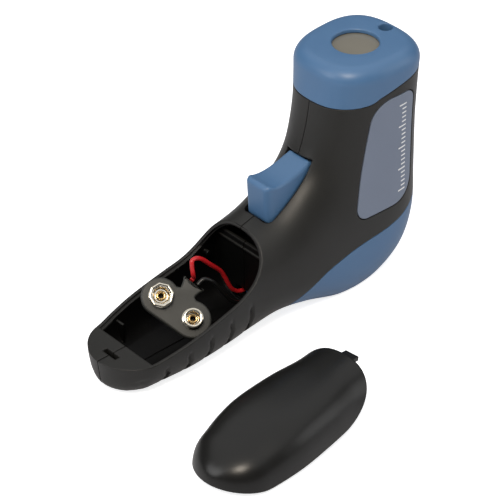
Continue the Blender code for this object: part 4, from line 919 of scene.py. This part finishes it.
def mark_painted_bay_shade(half):
    """Number each face 1 inside the bay and 0 elsewhere, from its centre and normal."""
    mesh = half.data
    (x, y, z), (nx, ny, nz) = (rows_of(mesh.polygons, f).T for f in ("center", "normal"))
    line = door_zone(0.0)
    line = line[(line[:, 0] > -REACH * 3) & (line[:, 1] < DOOR_NOTCH_Z)]
    rim = np.interp(x, line[:, 0], line[:, 1]) - INSIDE_RIM
    deep = (np.abs(nx) > FACES_ALONG) & (np.abs(y) < INSIDE_HALF_Y)
    faces_in = (y * ny < 0) | ((nz > FACES_UP) & (z < INSIDE_LOW)) | deep
    inside = faces_in & (z < rim) & (x > BAY_START_X - MM) & (x < bulkhead_end)
    # Faces marked 1 get the material's painted shade, nearly black and less glossy.
    marks = mesh.attributes.new("inside", "FLOAT", "FACE")
    marks.data.foreach_set("value", inside.astype(np.float32))
    print(half.name, "inside faces:", int(inside.sum()))
    return half


left_shell = dress(shell("left_shell", -1), shell_abs_with_bay_shade, ["housing_left"])
right_shell = dress(shell("right_shell", 1), shell_abs_with_bay_shade, ["housing_right"])
remove(hollow, grip_skin)
mark_painted_bay_shade(left_shell)
mark_painted_bay_shade(right_shell)
print("shell faces:", len(left_shell.data.polygons), len(right_shell.data.polygons))

# %% [markdown]
# ## The blue nose cap
#
# The cap closes the barrel. Like the bezel and the cover, it is a zone of the
# skin with a lip that stands inside its neighbours, so one function makes all
# three. The cap's window bore and laser hole have rolled rims, so their
# cutters flare at the top.

# %% A moulding with its lip
def moulding(name, outline, lip_outline, *core_outline):
    """The zone of the skin plus its lip, minus the lip's core and the hollow."""
    made = keep(prism(name, outline), skin, stay=True)
    lip = keep(prism("lip", lip_outline), lip_skin, stay=True)
    if core_outline:
        cut(lip, prism("lip_core", *core_outline))
    return cut(join(made, lip), seat_skin, stay=True)


# %% Nose cap
WINDOW_BORE_R = 8.0 * MM
WINDOW_R = 9.4 * MM
WINDOW_RECESS = 1.7 * MM
WINDOW_THICK = 1.5 * MM
LASER_X = NOSE_X + 14.0 * MM
LASER_HOLE_R = 2.4 * MM
RIM_ROUND = 0.6 * MM


def flared_cutter(name, x, radius, foot):
    """A bore whose rim rolls outward along a quarter circle at the nose face."""
    angle = np.linspace(0, pi / 2, 9)
    rim = np.stack([radius + RIM_ROUND * (1 - np.cos(angle)),
                    NOSE_HEIGHT - RIM_ROUND * (1 - np.sin(angle))], axis=1)
    top = (radius + RIM_ROUND, NOSE_HEIGHT + MM)
    return turned(name, np.vstack([[(radius, foot)], rim, [top]]), (x, 0, 0), 96)


cap = moulding("cap_moulding", cap_zone(0.0),
               np.vstack([cap_seam(-LIP_DEPTH), cap_seam(WALL)[::-1]]))
cap_inside = NOSE_HEIGHT - SEAT_WALL - MM
glass_top = NOSE_HEIGHT - WINDOW_RECESS
cut(cap, flared_cutter("window_bore", NOSE_X, WINDOW_BORE_R, cap_inside),
    flared_cutter("laser_bore", LASER_X, LASER_HOLE_R, cap_inside),
    turned("window_seat", [(WINDOW_R + GAP, cap_inside), (WINDOW_R + GAP, glass_top + GAP)],
           (NOSE_X, 0, 0), 96))
dress(smooth(cap), blue_abs, ["nose_cap"])

# %% Nose window
glass_foot = glass_top - WINDOW_THICK
edge = 0.2 * MM
window = turned("window_plate", [(WINDOW_R - edge, glass_foot), (WINDOW_R, glass_foot + edge),
                                 (WINDOW_R, glass_top - edge), (WINDOW_R - edge, glass_top)],
                (NOSE_X, 0, 0), 96)
dress(smooth(window), window_acrylic, ["nose_window"])

# %% [markdown]
# ## The blue display bezel
#
# The bezel wraps the low front of the instrument and holds the display
# window and the memory button. It is cut from the same skin.

# %% Display bezel
DISPLAY_X = 10.2 * MM
DISPLAY_HALF = (8.0 * MM, 10.4 * MM)
DISPLAY_LAND = 1.2 * MM
BUTTON_X = -9.5 * MM
BUTTON_R = 3.2 * MM
DISPLAY_STEP = 1.3 * MM
BEZEL_BORE_TOP = 6.0 * MM
POST_PLACES = np.array(((-10.4, 8.2), (-10.4, -8.2), (27.8, 8.2), (27.8, -8.2))) * MM
POST_R = 1.8 * MM
POST_TOP = 8.3 * MM

bezel = moulding("bezel_moulding", bezel_zone(0.0), bezel_zone(LIP_DEPTH), bezel_zone(-WALL))
join(bezel, *[turned("post", [(POST_R, WALL), (POST_R, POST_TOP)], (x, y, 0), 32)
              for x, y in POST_PLACES])
frame_x, frame_y = DISPLAY_HALF
land_x, land_y = frame_x - DISPLAY_LAND, frame_y - DISPLAY_LAND
cut(bezel, block("display_step", (DISPLAY_X - frame_x, -frame_y, -MM),
                 (DISPLAY_X + frame_x, frame_y, DISPLAY_STEP)),
    block("display_hole", (DISPLAY_X - land_x, -land_y, -MM),
          (DISPLAY_X + land_x, land_y, BEZEL_BORE_TOP)),
    turned("button_hole", [(BUTTON_R + GAP, -MM), (BUTTON_R + GAP, BEZEL_BORE_TOP)],
           (BUTTON_X, 0, 0), 48))
dress(smooth(bezel), blue_abs, ["display_bezel"])

# %% [markdown]
# ## The side panel
#
# A grey inlay sits in a shallow recess of the left shell. Its marks are left
# plain: a simple row of measuring ticks, printed in white. Both are prisms
# kept between two copies of the skin, so they follow its curve.

# %% Panel and its ticks
TICK_COUNT = 21
TICK_PITCH = 1.7 * MM
TICK_TOP_Z = 69.0 * MM
TICK_RIGHT_X = 30.4 * MM
TICK_LONG = 3.4 * MM
TICK_SHORT = 2.0 * MM
TICK_WIDTH = 0.5 * MM
PRINT_THICK = 0.03 * MM
PRINT_ROOT = 0.3 * MM

panel = prism("panel_plate", panel_outline(0.0), -REACH, PANEL_INNER_Y)
keep(panel, skin, stay=True)
cut(panel, closed_grid("panel_back", skin_points(PANEL_DEPTH)))
dress(smooth(panel), panel_film, ["side_panel"])

ticks = []
for i in range(TICK_COUNT):
    top = TICK_TOP_Z - i * TICK_PITCH
    long = TICK_LONG if i % 5 == 0 else TICK_SHORT
    ticks.append(block("tick", (TICK_RIGHT_X - long, -REACH, top - TICK_WIDTH),
                       (TICK_RIGHT_X, PANEL_INNER_Y, top)))
scale = join(ticks[0], *ticks[1:])
scale.name = "panel_scale"
keep(scale, closed_grid("print_skin", skin_points(-PRINT_THICK)))
cut(scale, closed_grid("print_back", skin_points(PRINT_ROOT)))
dress(smooth(scale), print_white)

# %% [markdown]
# ## The battery cover
#
# The cover is the part of the skin above its seam, so it would close the bay
# exactly. It is tipped nearly level, a little back towards its butt end,
# turned a few degrees and set down on the ground beside the instrument.

# %% Battery cover
DOOR_LIP_DEPTH = 1.2 * MM
DOOR_REST = (-29.9 * MM, -53.0 * MM)
DOOR_YAW = radians(7.0)
DOOR_TIP = radians(-2.9)
TAB = np.array(((-31.6, -2.7, 33.0), (-22.7, 2.7, 34.5))) * MM

cover = moulding("cover_moulding", door_zone(0.0), door_zone(DOOR_LIP_DEPTH), door_zone(-WALL))
join(cover, block("cover_tab", *TAB))


# %% Set the cover down
def lay_down(piece):
    """Tip it nearly by the seam's slope, turn it about Z, then set it down."""
    slope = DOOR_TIP + np.arctan2(DOOR_SEAM_RISE, DOOR_SEAM_END_X - DOOR_SEAM_START_X)
    tip = np.array([(cos(slope), 0, sin(slope)), (0, 1, 0), (-sin(slope), 0, cos(slope))])
    c, s = cos(DOOR_YAW), sin(DOOR_YAW)
    turn = np.array([(c, -s, 0), (s, c, 0), (0, 0, 1)]) @ tip
    places = rows_of(piece.data.vertices, "co").astype(float) @ turn.T
    notch = turn @ (DOOR_NOTCH_X, 0, DOOR_NOTCH_Z)
    places += (DOOR_REST[0] - notch[0], DOOR_REST[1] - notch[1], -places[:, 2].min())
    piece.data.vertices.foreach_set("co", places.ravel())
    piece.data.update()
    return piece


dress(smooth(lay_down(cover)), cover_abs, ["battery_door"])

# %% [markdown]
# ## The trigger
#
# The trigger's side view has a hollow finger face and soft corners. That
# outline is carried across its width, and near both sides it shrinks along
# a quarter circle, which rounds every edge at once.

# %% Trigger
TRIGGER_HOLLOW = 2.0 * MM
TRIGGER_TIP_R = 1.5 * MM
TRIGGER_EDGE = 1.4 * MM
TRIGGER_FRONT_DEPTH = 9.0 * MM
TRIGGER_BOSS_R = 3.2 * MM
TRIGGER_FOOT = np.array(((-6.0, 38.9), (-12.0, 38.9), (-16.4, 34.6), (-20.7, 36.6))) * MM
TRIGGER_FOOT_R = [MM, MM, 0.8 * MM, 1.4 * MM]
HOLLOW_START = 0.16
HOLLOW_SKEW = 0.8
HOLLOW_STEPS = 24


def trigger_outline():
    """Hollow face as half a sine wave, then the pin's boss and the foot."""
    share = np.linspace(HOLLOW_START, 1, HOLLOW_STEPS)
    x = TRIGGER_TIP[0] + (TRIGGER_ROOT[0] - TRIGGER_TIP[0]) * share
    z = (TRIGGER_TIP[1] + (TRIGGER_ROOT[1] - TRIGGER_TIP[1]) * share
         - TRIGGER_HOLLOW * np.sin(pi * share ** HOLLOW_SKEW))
    arc = np.radians(np.linspace(110, -90, 14))
    boss = TRIGGER_PIVOT + TRIGGER_BOSS_R * np.stack([np.cos(arc), np.sin(arc)], axis=1)
    corners = np.vstack([[TRIGGER_TIP], np.stack([x, z], axis=1), boss, TRIGGER_FOOT])
    radii = [TRIGGER_TIP_R] + [0] * (HOLLOW_STEPS + len(boss)) + TRIGGER_FOOT_R
    return rounded(corners, radii)


# %% Trigger rings
def trigger_rings():
    """One side's rings: shrunk at the edge, set back at the front, narrower behind."""
    outline = trigger_outline()
    flat = TRIGGER_HALF_WIDTH - TRIGGER_FRONT_R
    level = TRIGGER_HALF_WIDTH - TRIGGER_EDGE
    turn = np.linspace(0, pi / 2, 9)
    across_y = np.concatenate([np.linspace(flat, level, 9)[:-1],
                               level + TRIGGER_EDGE * np.sin(turn)])
    inset = np.concatenate([np.zeros(8), TRIGGER_EDGE * (1 - np.cos(turn))])
    set_back = TRIGGER_FRONT_R - np.sqrt(TRIGGER_FRONT_R ** 2 - (across_y - flat) ** 2)
    taper = 1 - TRIGGER_ROOT_HALF_WIDTH / TRIGGER_HALF_WIDTH
    rings = np.stack([grow(outline, -amount) for amount in inset])
    behind = (rings[:, :, 0] - TRIGGER_TIP[0]) / TRIGGER_FRONT_DEPTH
    along = (rings[:, :, 0] - TRIGGER_TIP[0]) / (TRIGGER_ROOT[0] - TRIGGER_TIP[0])
    x = rings[:, :, 0] + set_back[:, None] * np.clip(1 - behind, 0, 1)
    y = across_y[:, None] * (1 - taper * np.clip(along, 0, 1))
    return np.stack([x, y, rings[:, :, 1]], axis=-1)


side_rings = trigger_rings()
side_rings = np.concatenate([side_rings[::-1] * (1, -1, 1), side_rings])
trigger = closed_grid("trigger_moulding", side_rings)
cut(trigger, across("trigger_bore", TRIGGER_PIVOT, -REACH, REACH, PIN_R + GAP))
dress(smooth(trigger, 40), trigger_abs, ["trigger"], "trigger_body")

# %% [markdown]
# ## The snap connector
#
# The connector is a flat piece of soft vinyl with two lobes, a straight foot
# and a short fish-tail where the wires go in. Its outline is drawn as arcs
# and a few points, then given rounded edges as the trigger was. On it sit a
# pressed crown with eight petals and a round stud, both bright nickel, each
# riveted on by a brass eyelet whose hole goes into the vinyl.

# %% Snap body
SNAP_PITCH = 12.95 * MM
SNAP_BODY_R = 6.4 * MM
SNAP_HALF = 1.5 * MM
SNAP_EDGE = 0.7 * MM
SNAP_FLANK = ((2.95, 6.5), (3.0, 7.4), (3.45, 9.0), (4.0, 10.1), (3.75, 10.5), (2.6, 10.2),
              (1.3, 9.85), (0.0, 9.75))


def snap_outline():
    """Right lobe from foot to neck, a bending flank, a soft ear, then its mirror."""
    angle = np.radians(np.linspace(-90, 112, 44))
    lobe = np.stack([SNAP_PITCH / 2 + SNAP_BODY_R * np.cos(angle),
                     SNAP_BODY_R * np.sin(angle)], axis=1)
    flank = np.vstack([lobe[-1:] / MM, SNAP_FLANK])
    flank = spline_rows(flank, np.linspace(0, len(flank) - 1, 41))[1:] * MM
    half = np.vstack([lobe, flank])
    return np.vstack([half, half[-2::-1] * (-1, 1)])


# %% Rounded vinyl and its rivet holes
def pillow_rings(outline):
    """Rings of the flat vinyl, whose edges round off along a quarter circle."""
    turn = np.linspace(0, pi / 2, 8)
    inset = SNAP_EDGE * (1 - np.sin(turn))
    out = SNAP_HALF - SNAP_EDGE + SNAP_EDGE * np.cos(turn)
    rings = []
    for amount, level in zip([*inset, *inset[::-1]], [*out, *-out[::-1]]):
        ring = grow(outline, -amount)
        rings.append(on_snap(ring[:, 0], level, ring[:, 1]))
    return np.stack(rings)


outline = even_points(np.vstack([snap_outline(), snap_outline()[:1]]), 201)[:-1]
snap_body = closed_grid("snap_body", pillow_rings(outline))
RIVET_HOLE_R = 0.95 * MM
RIVET_HOLE_DEPTH = 2.2 * MM
for side in (-1, 1):
    mouth = on_snap(side * SNAP_PITCH / 2, SNAP_HALF + MM, 0)
    cut(snap_body, turned("rivet_hole", [(RIVET_HOLE_R, 0), (RIVET_HOLE_R, RIVET_HOLE_DEPTH + MM)],
                          mouth, 32, snap_face))
dress(smooth(snap_body, 40), snap_vinyl, ["snap_connector"])


# %% Snap contacts
def pressed_contact(name, along, profile, sides=8, depth=0.0):
    """A closed profile turned into a ring whose rim bends towards a polygon."""
    radius, height, share = (np.array(profile) * (MM, MM, 1)).T
    turn = np.linspace(0, 2 * pi, 128, endpoint=False)
    within = (turn * sides / (2 * pi)) % 1 - 0.5
    polygon = cos(pi / sides) / np.cos(within * 2 * pi / sides)
    factor = 1 + share[:, None] * depth * (polygon / polygon.mean() - 1)
    reach = radius[:, None] * factor
    lift = SNAP_HALF + LEAD_GAP + height[:, None] + 0 * reach
    places = on_snap(along + reach * np.cos(turn), lift, reach * np.sin(turn))
    faces = grid_faces(*places.shape[:2], wrap_rows=True)
    return outward(mesh_object(name, places, faces.tolist()))


# Radius and height in mm, and how far the rim follows the petals.
SOCKET_PROFILE = (
    (1.0, 0, 0), (4.1, 0, 0), (4.1, 0.4, 0), (3.5, 0.6, 0.2), (3.25, 1.0, 0.5), (3.35, 1.6, 0.8),
    (3.8, 2.1, 1), (4.05, 2.45, 1), (3.95, 2.75, 1), (3.6, 2.85, 1), (3.1, 2.7, 1),
    (2.7, 2.35, 0.8), (2.45, 1.8, 0.4), (2.3, 1.0, 0.2), (2.25, 0.5, 0), (1.0, 0.5, 0))
STUD_PROFILE = (
    (1.0, 0, 0), (3.6, 0, 0), (3.6, 0.35, 0), (3.1, 0.55, 0), (2.75, 0.9, 0), (2.75, 1.4, 0),
    (3.1, 1.85, 0), (3.35, 2.2, 0), (3.3, 2.5, 0), (2.95, 2.68, 0), (2.45, 2.6, 0),
    (2.15, 2.3, 0), (2.0, 1.7, 0), (1.9, 0.6, 0), (1.0, 0.6, 0))
EYELET_PROFILE = (
    (0.85, -0.5, 0), (0.95, 0.62, 0), (1.7, 0.66, 0), (1.75, 1.0, 0), (1.5, 1.35, 0),
    (1.2, 1.4, 0), (0.9, 1.25, 0), (0.75, 0.9, 0), (0.7, -0.5, 0))

socket = pressed_contact("socket_crown", -SNAP_PITCH / 2, SOCKET_PROFILE, 8, 1.0)
dress(smooth(socket, 50), nickel, ["snap_socket"])
stud = pressed_contact("stud_ring", SNAP_PITCH / 2, STUD_PROFILE)
dress(smooth(stud, 50), nickel, ["snap_stud"])
eyelets = [pressed_contact("socket_eyelet", -SNAP_PITCH / 2, EYELET_PROFILE),
           pressed_contact("stud_eyelet", SNAP_PITCH / 2, EYELET_PROFILE)]
for eyelet in eyelets:
    dress(smooth(eyelet, 50), eyelet_brass)

dress(red_wire, red_pvc, ["red_lead"])
dress(black_wire, black_pvc, ["black_lead"])

# %% [markdown]
# ## The pieces inside
#
# What sits inside keeps its solid from the frame and gets its own finish.

# %% Finishes of the inner pieces
INNER_FINISHES = (
    (inner_nylon, "lens_tube processor memory_button memory_switch trigger_switch"),
    (window_acrylic, "receiver_lens display_window lcd_module"),
    (zinc, "trigger_pin trigger_spring housing_screw_1 housing_screw_2 housing_screw_3"
           " housing_screw_4"),
    (board_mask, "sensor_board main_board"),
    (rubber_strip, "zebra_strip_front zebra_strip_back"),
    (ribbon_pvc, "link_ribbon"),
    (nickel, "photo_sensor"),
    (brass, "laser_module"),
)
for finish, nodes in INNER_FINISHES:
    for node in nodes.split():
        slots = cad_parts[node].data.materials
        slots.clear()
        slots.append(finish)
    print(finish.name, "on", nodes)
remove(skin, inner_skin, middle_skin, lip_skin, seat_skin)

# %% [markdown]
# ## Floor and light
#
# The photograph has a paper sweep that burns out to pure white, with only a
# faint contact shadow. Enough light for that would wash out the dark plastic,
# so the sky is dim and the floor adds a glow that only the camera sees. Four
# large soft lights draw the long, gentle highlights: a warm key from the
# front left, one from the left side, a weak fill and a wide one overhead.

# %% Floor
FLOOR_HALF = 3.0
FLOOR_DROP = 0.2 * MM
FLOOR_GLOW = 0.8
floor_corners = np.array([(-1, -1, 0), (1, -1, 0), (1, 1, 0), (-1, 1, 0)]) * FLOOR_HALF
floor = mesh_object("floor", floor_corners - (0, 0, FLOOR_DROP), [(0, 1, 2, 3)])
sweep, tree, shader, _ = new_material("white_paper_sweep")
ray = add(tree, "LightPath").outputs["Is Camera Ray"]
lift = add(tree, "Math", {0: ray, 1: FLOOR_GLOW}, operation="MULTIPLY")
feed(tree, shader, {"Base Color": colour("#d0d2d8"), "Roughness": 0.9,
                    "Emission Color": colour("#ffffff"),
                    "Emission Strength": lift.outputs["Value"]})
floor.data.materials.append(sweep)

# %% Sky and lights
SKY_STRENGTH = 0.12
BARREL_AIM = (-0.02, 0, 0.03)
LIGHTS = (
    ("key", (-0.75, -0.6, 1.3), BARREL_AIM, 0.4, 15.0, "#fff3e2"),
    ("side", (-1.2, 0.35, 0.7), BARREL_AIM, 0.7, 6.0, "#ffffff"),
    ("fill", (0.9, -0.9, 0.5), (0, 0, 0.03), 0.8, 3.5, "#ffffff"),
    ("top", (0.1, 0.1, 1.5), (0, 0, 0), 3.0, 24.0, "#ffffff"),
)
world = bpy.data.worlds.new("studio")
bpy.context.scene.world = world
world.use_nodes = True
tree = world.node_tree
feed(tree, tree.nodes["Background"], {"Color": colour("#ffffff"), "Strength": SKY_STRENGTH})
bpy.context.scene.view_settings.view_transform = "Standard"

for name, place, aim, size, power, tint in LIGHTS:
    data = bpy.data.lights.new(name, "AREA")
    data.size = size
    data.energy = power
    data.color = colour(tint)[:3]
    lamp = new_object(name, data)
    lamp.location = place
    lamp.rotation_mode = "QUATERNION"
    lamp.rotation_quaternion = (Vector(aim) - Vector(place)).to_track_quat("-Z", "Y")
    print(name, "light", power, "W")
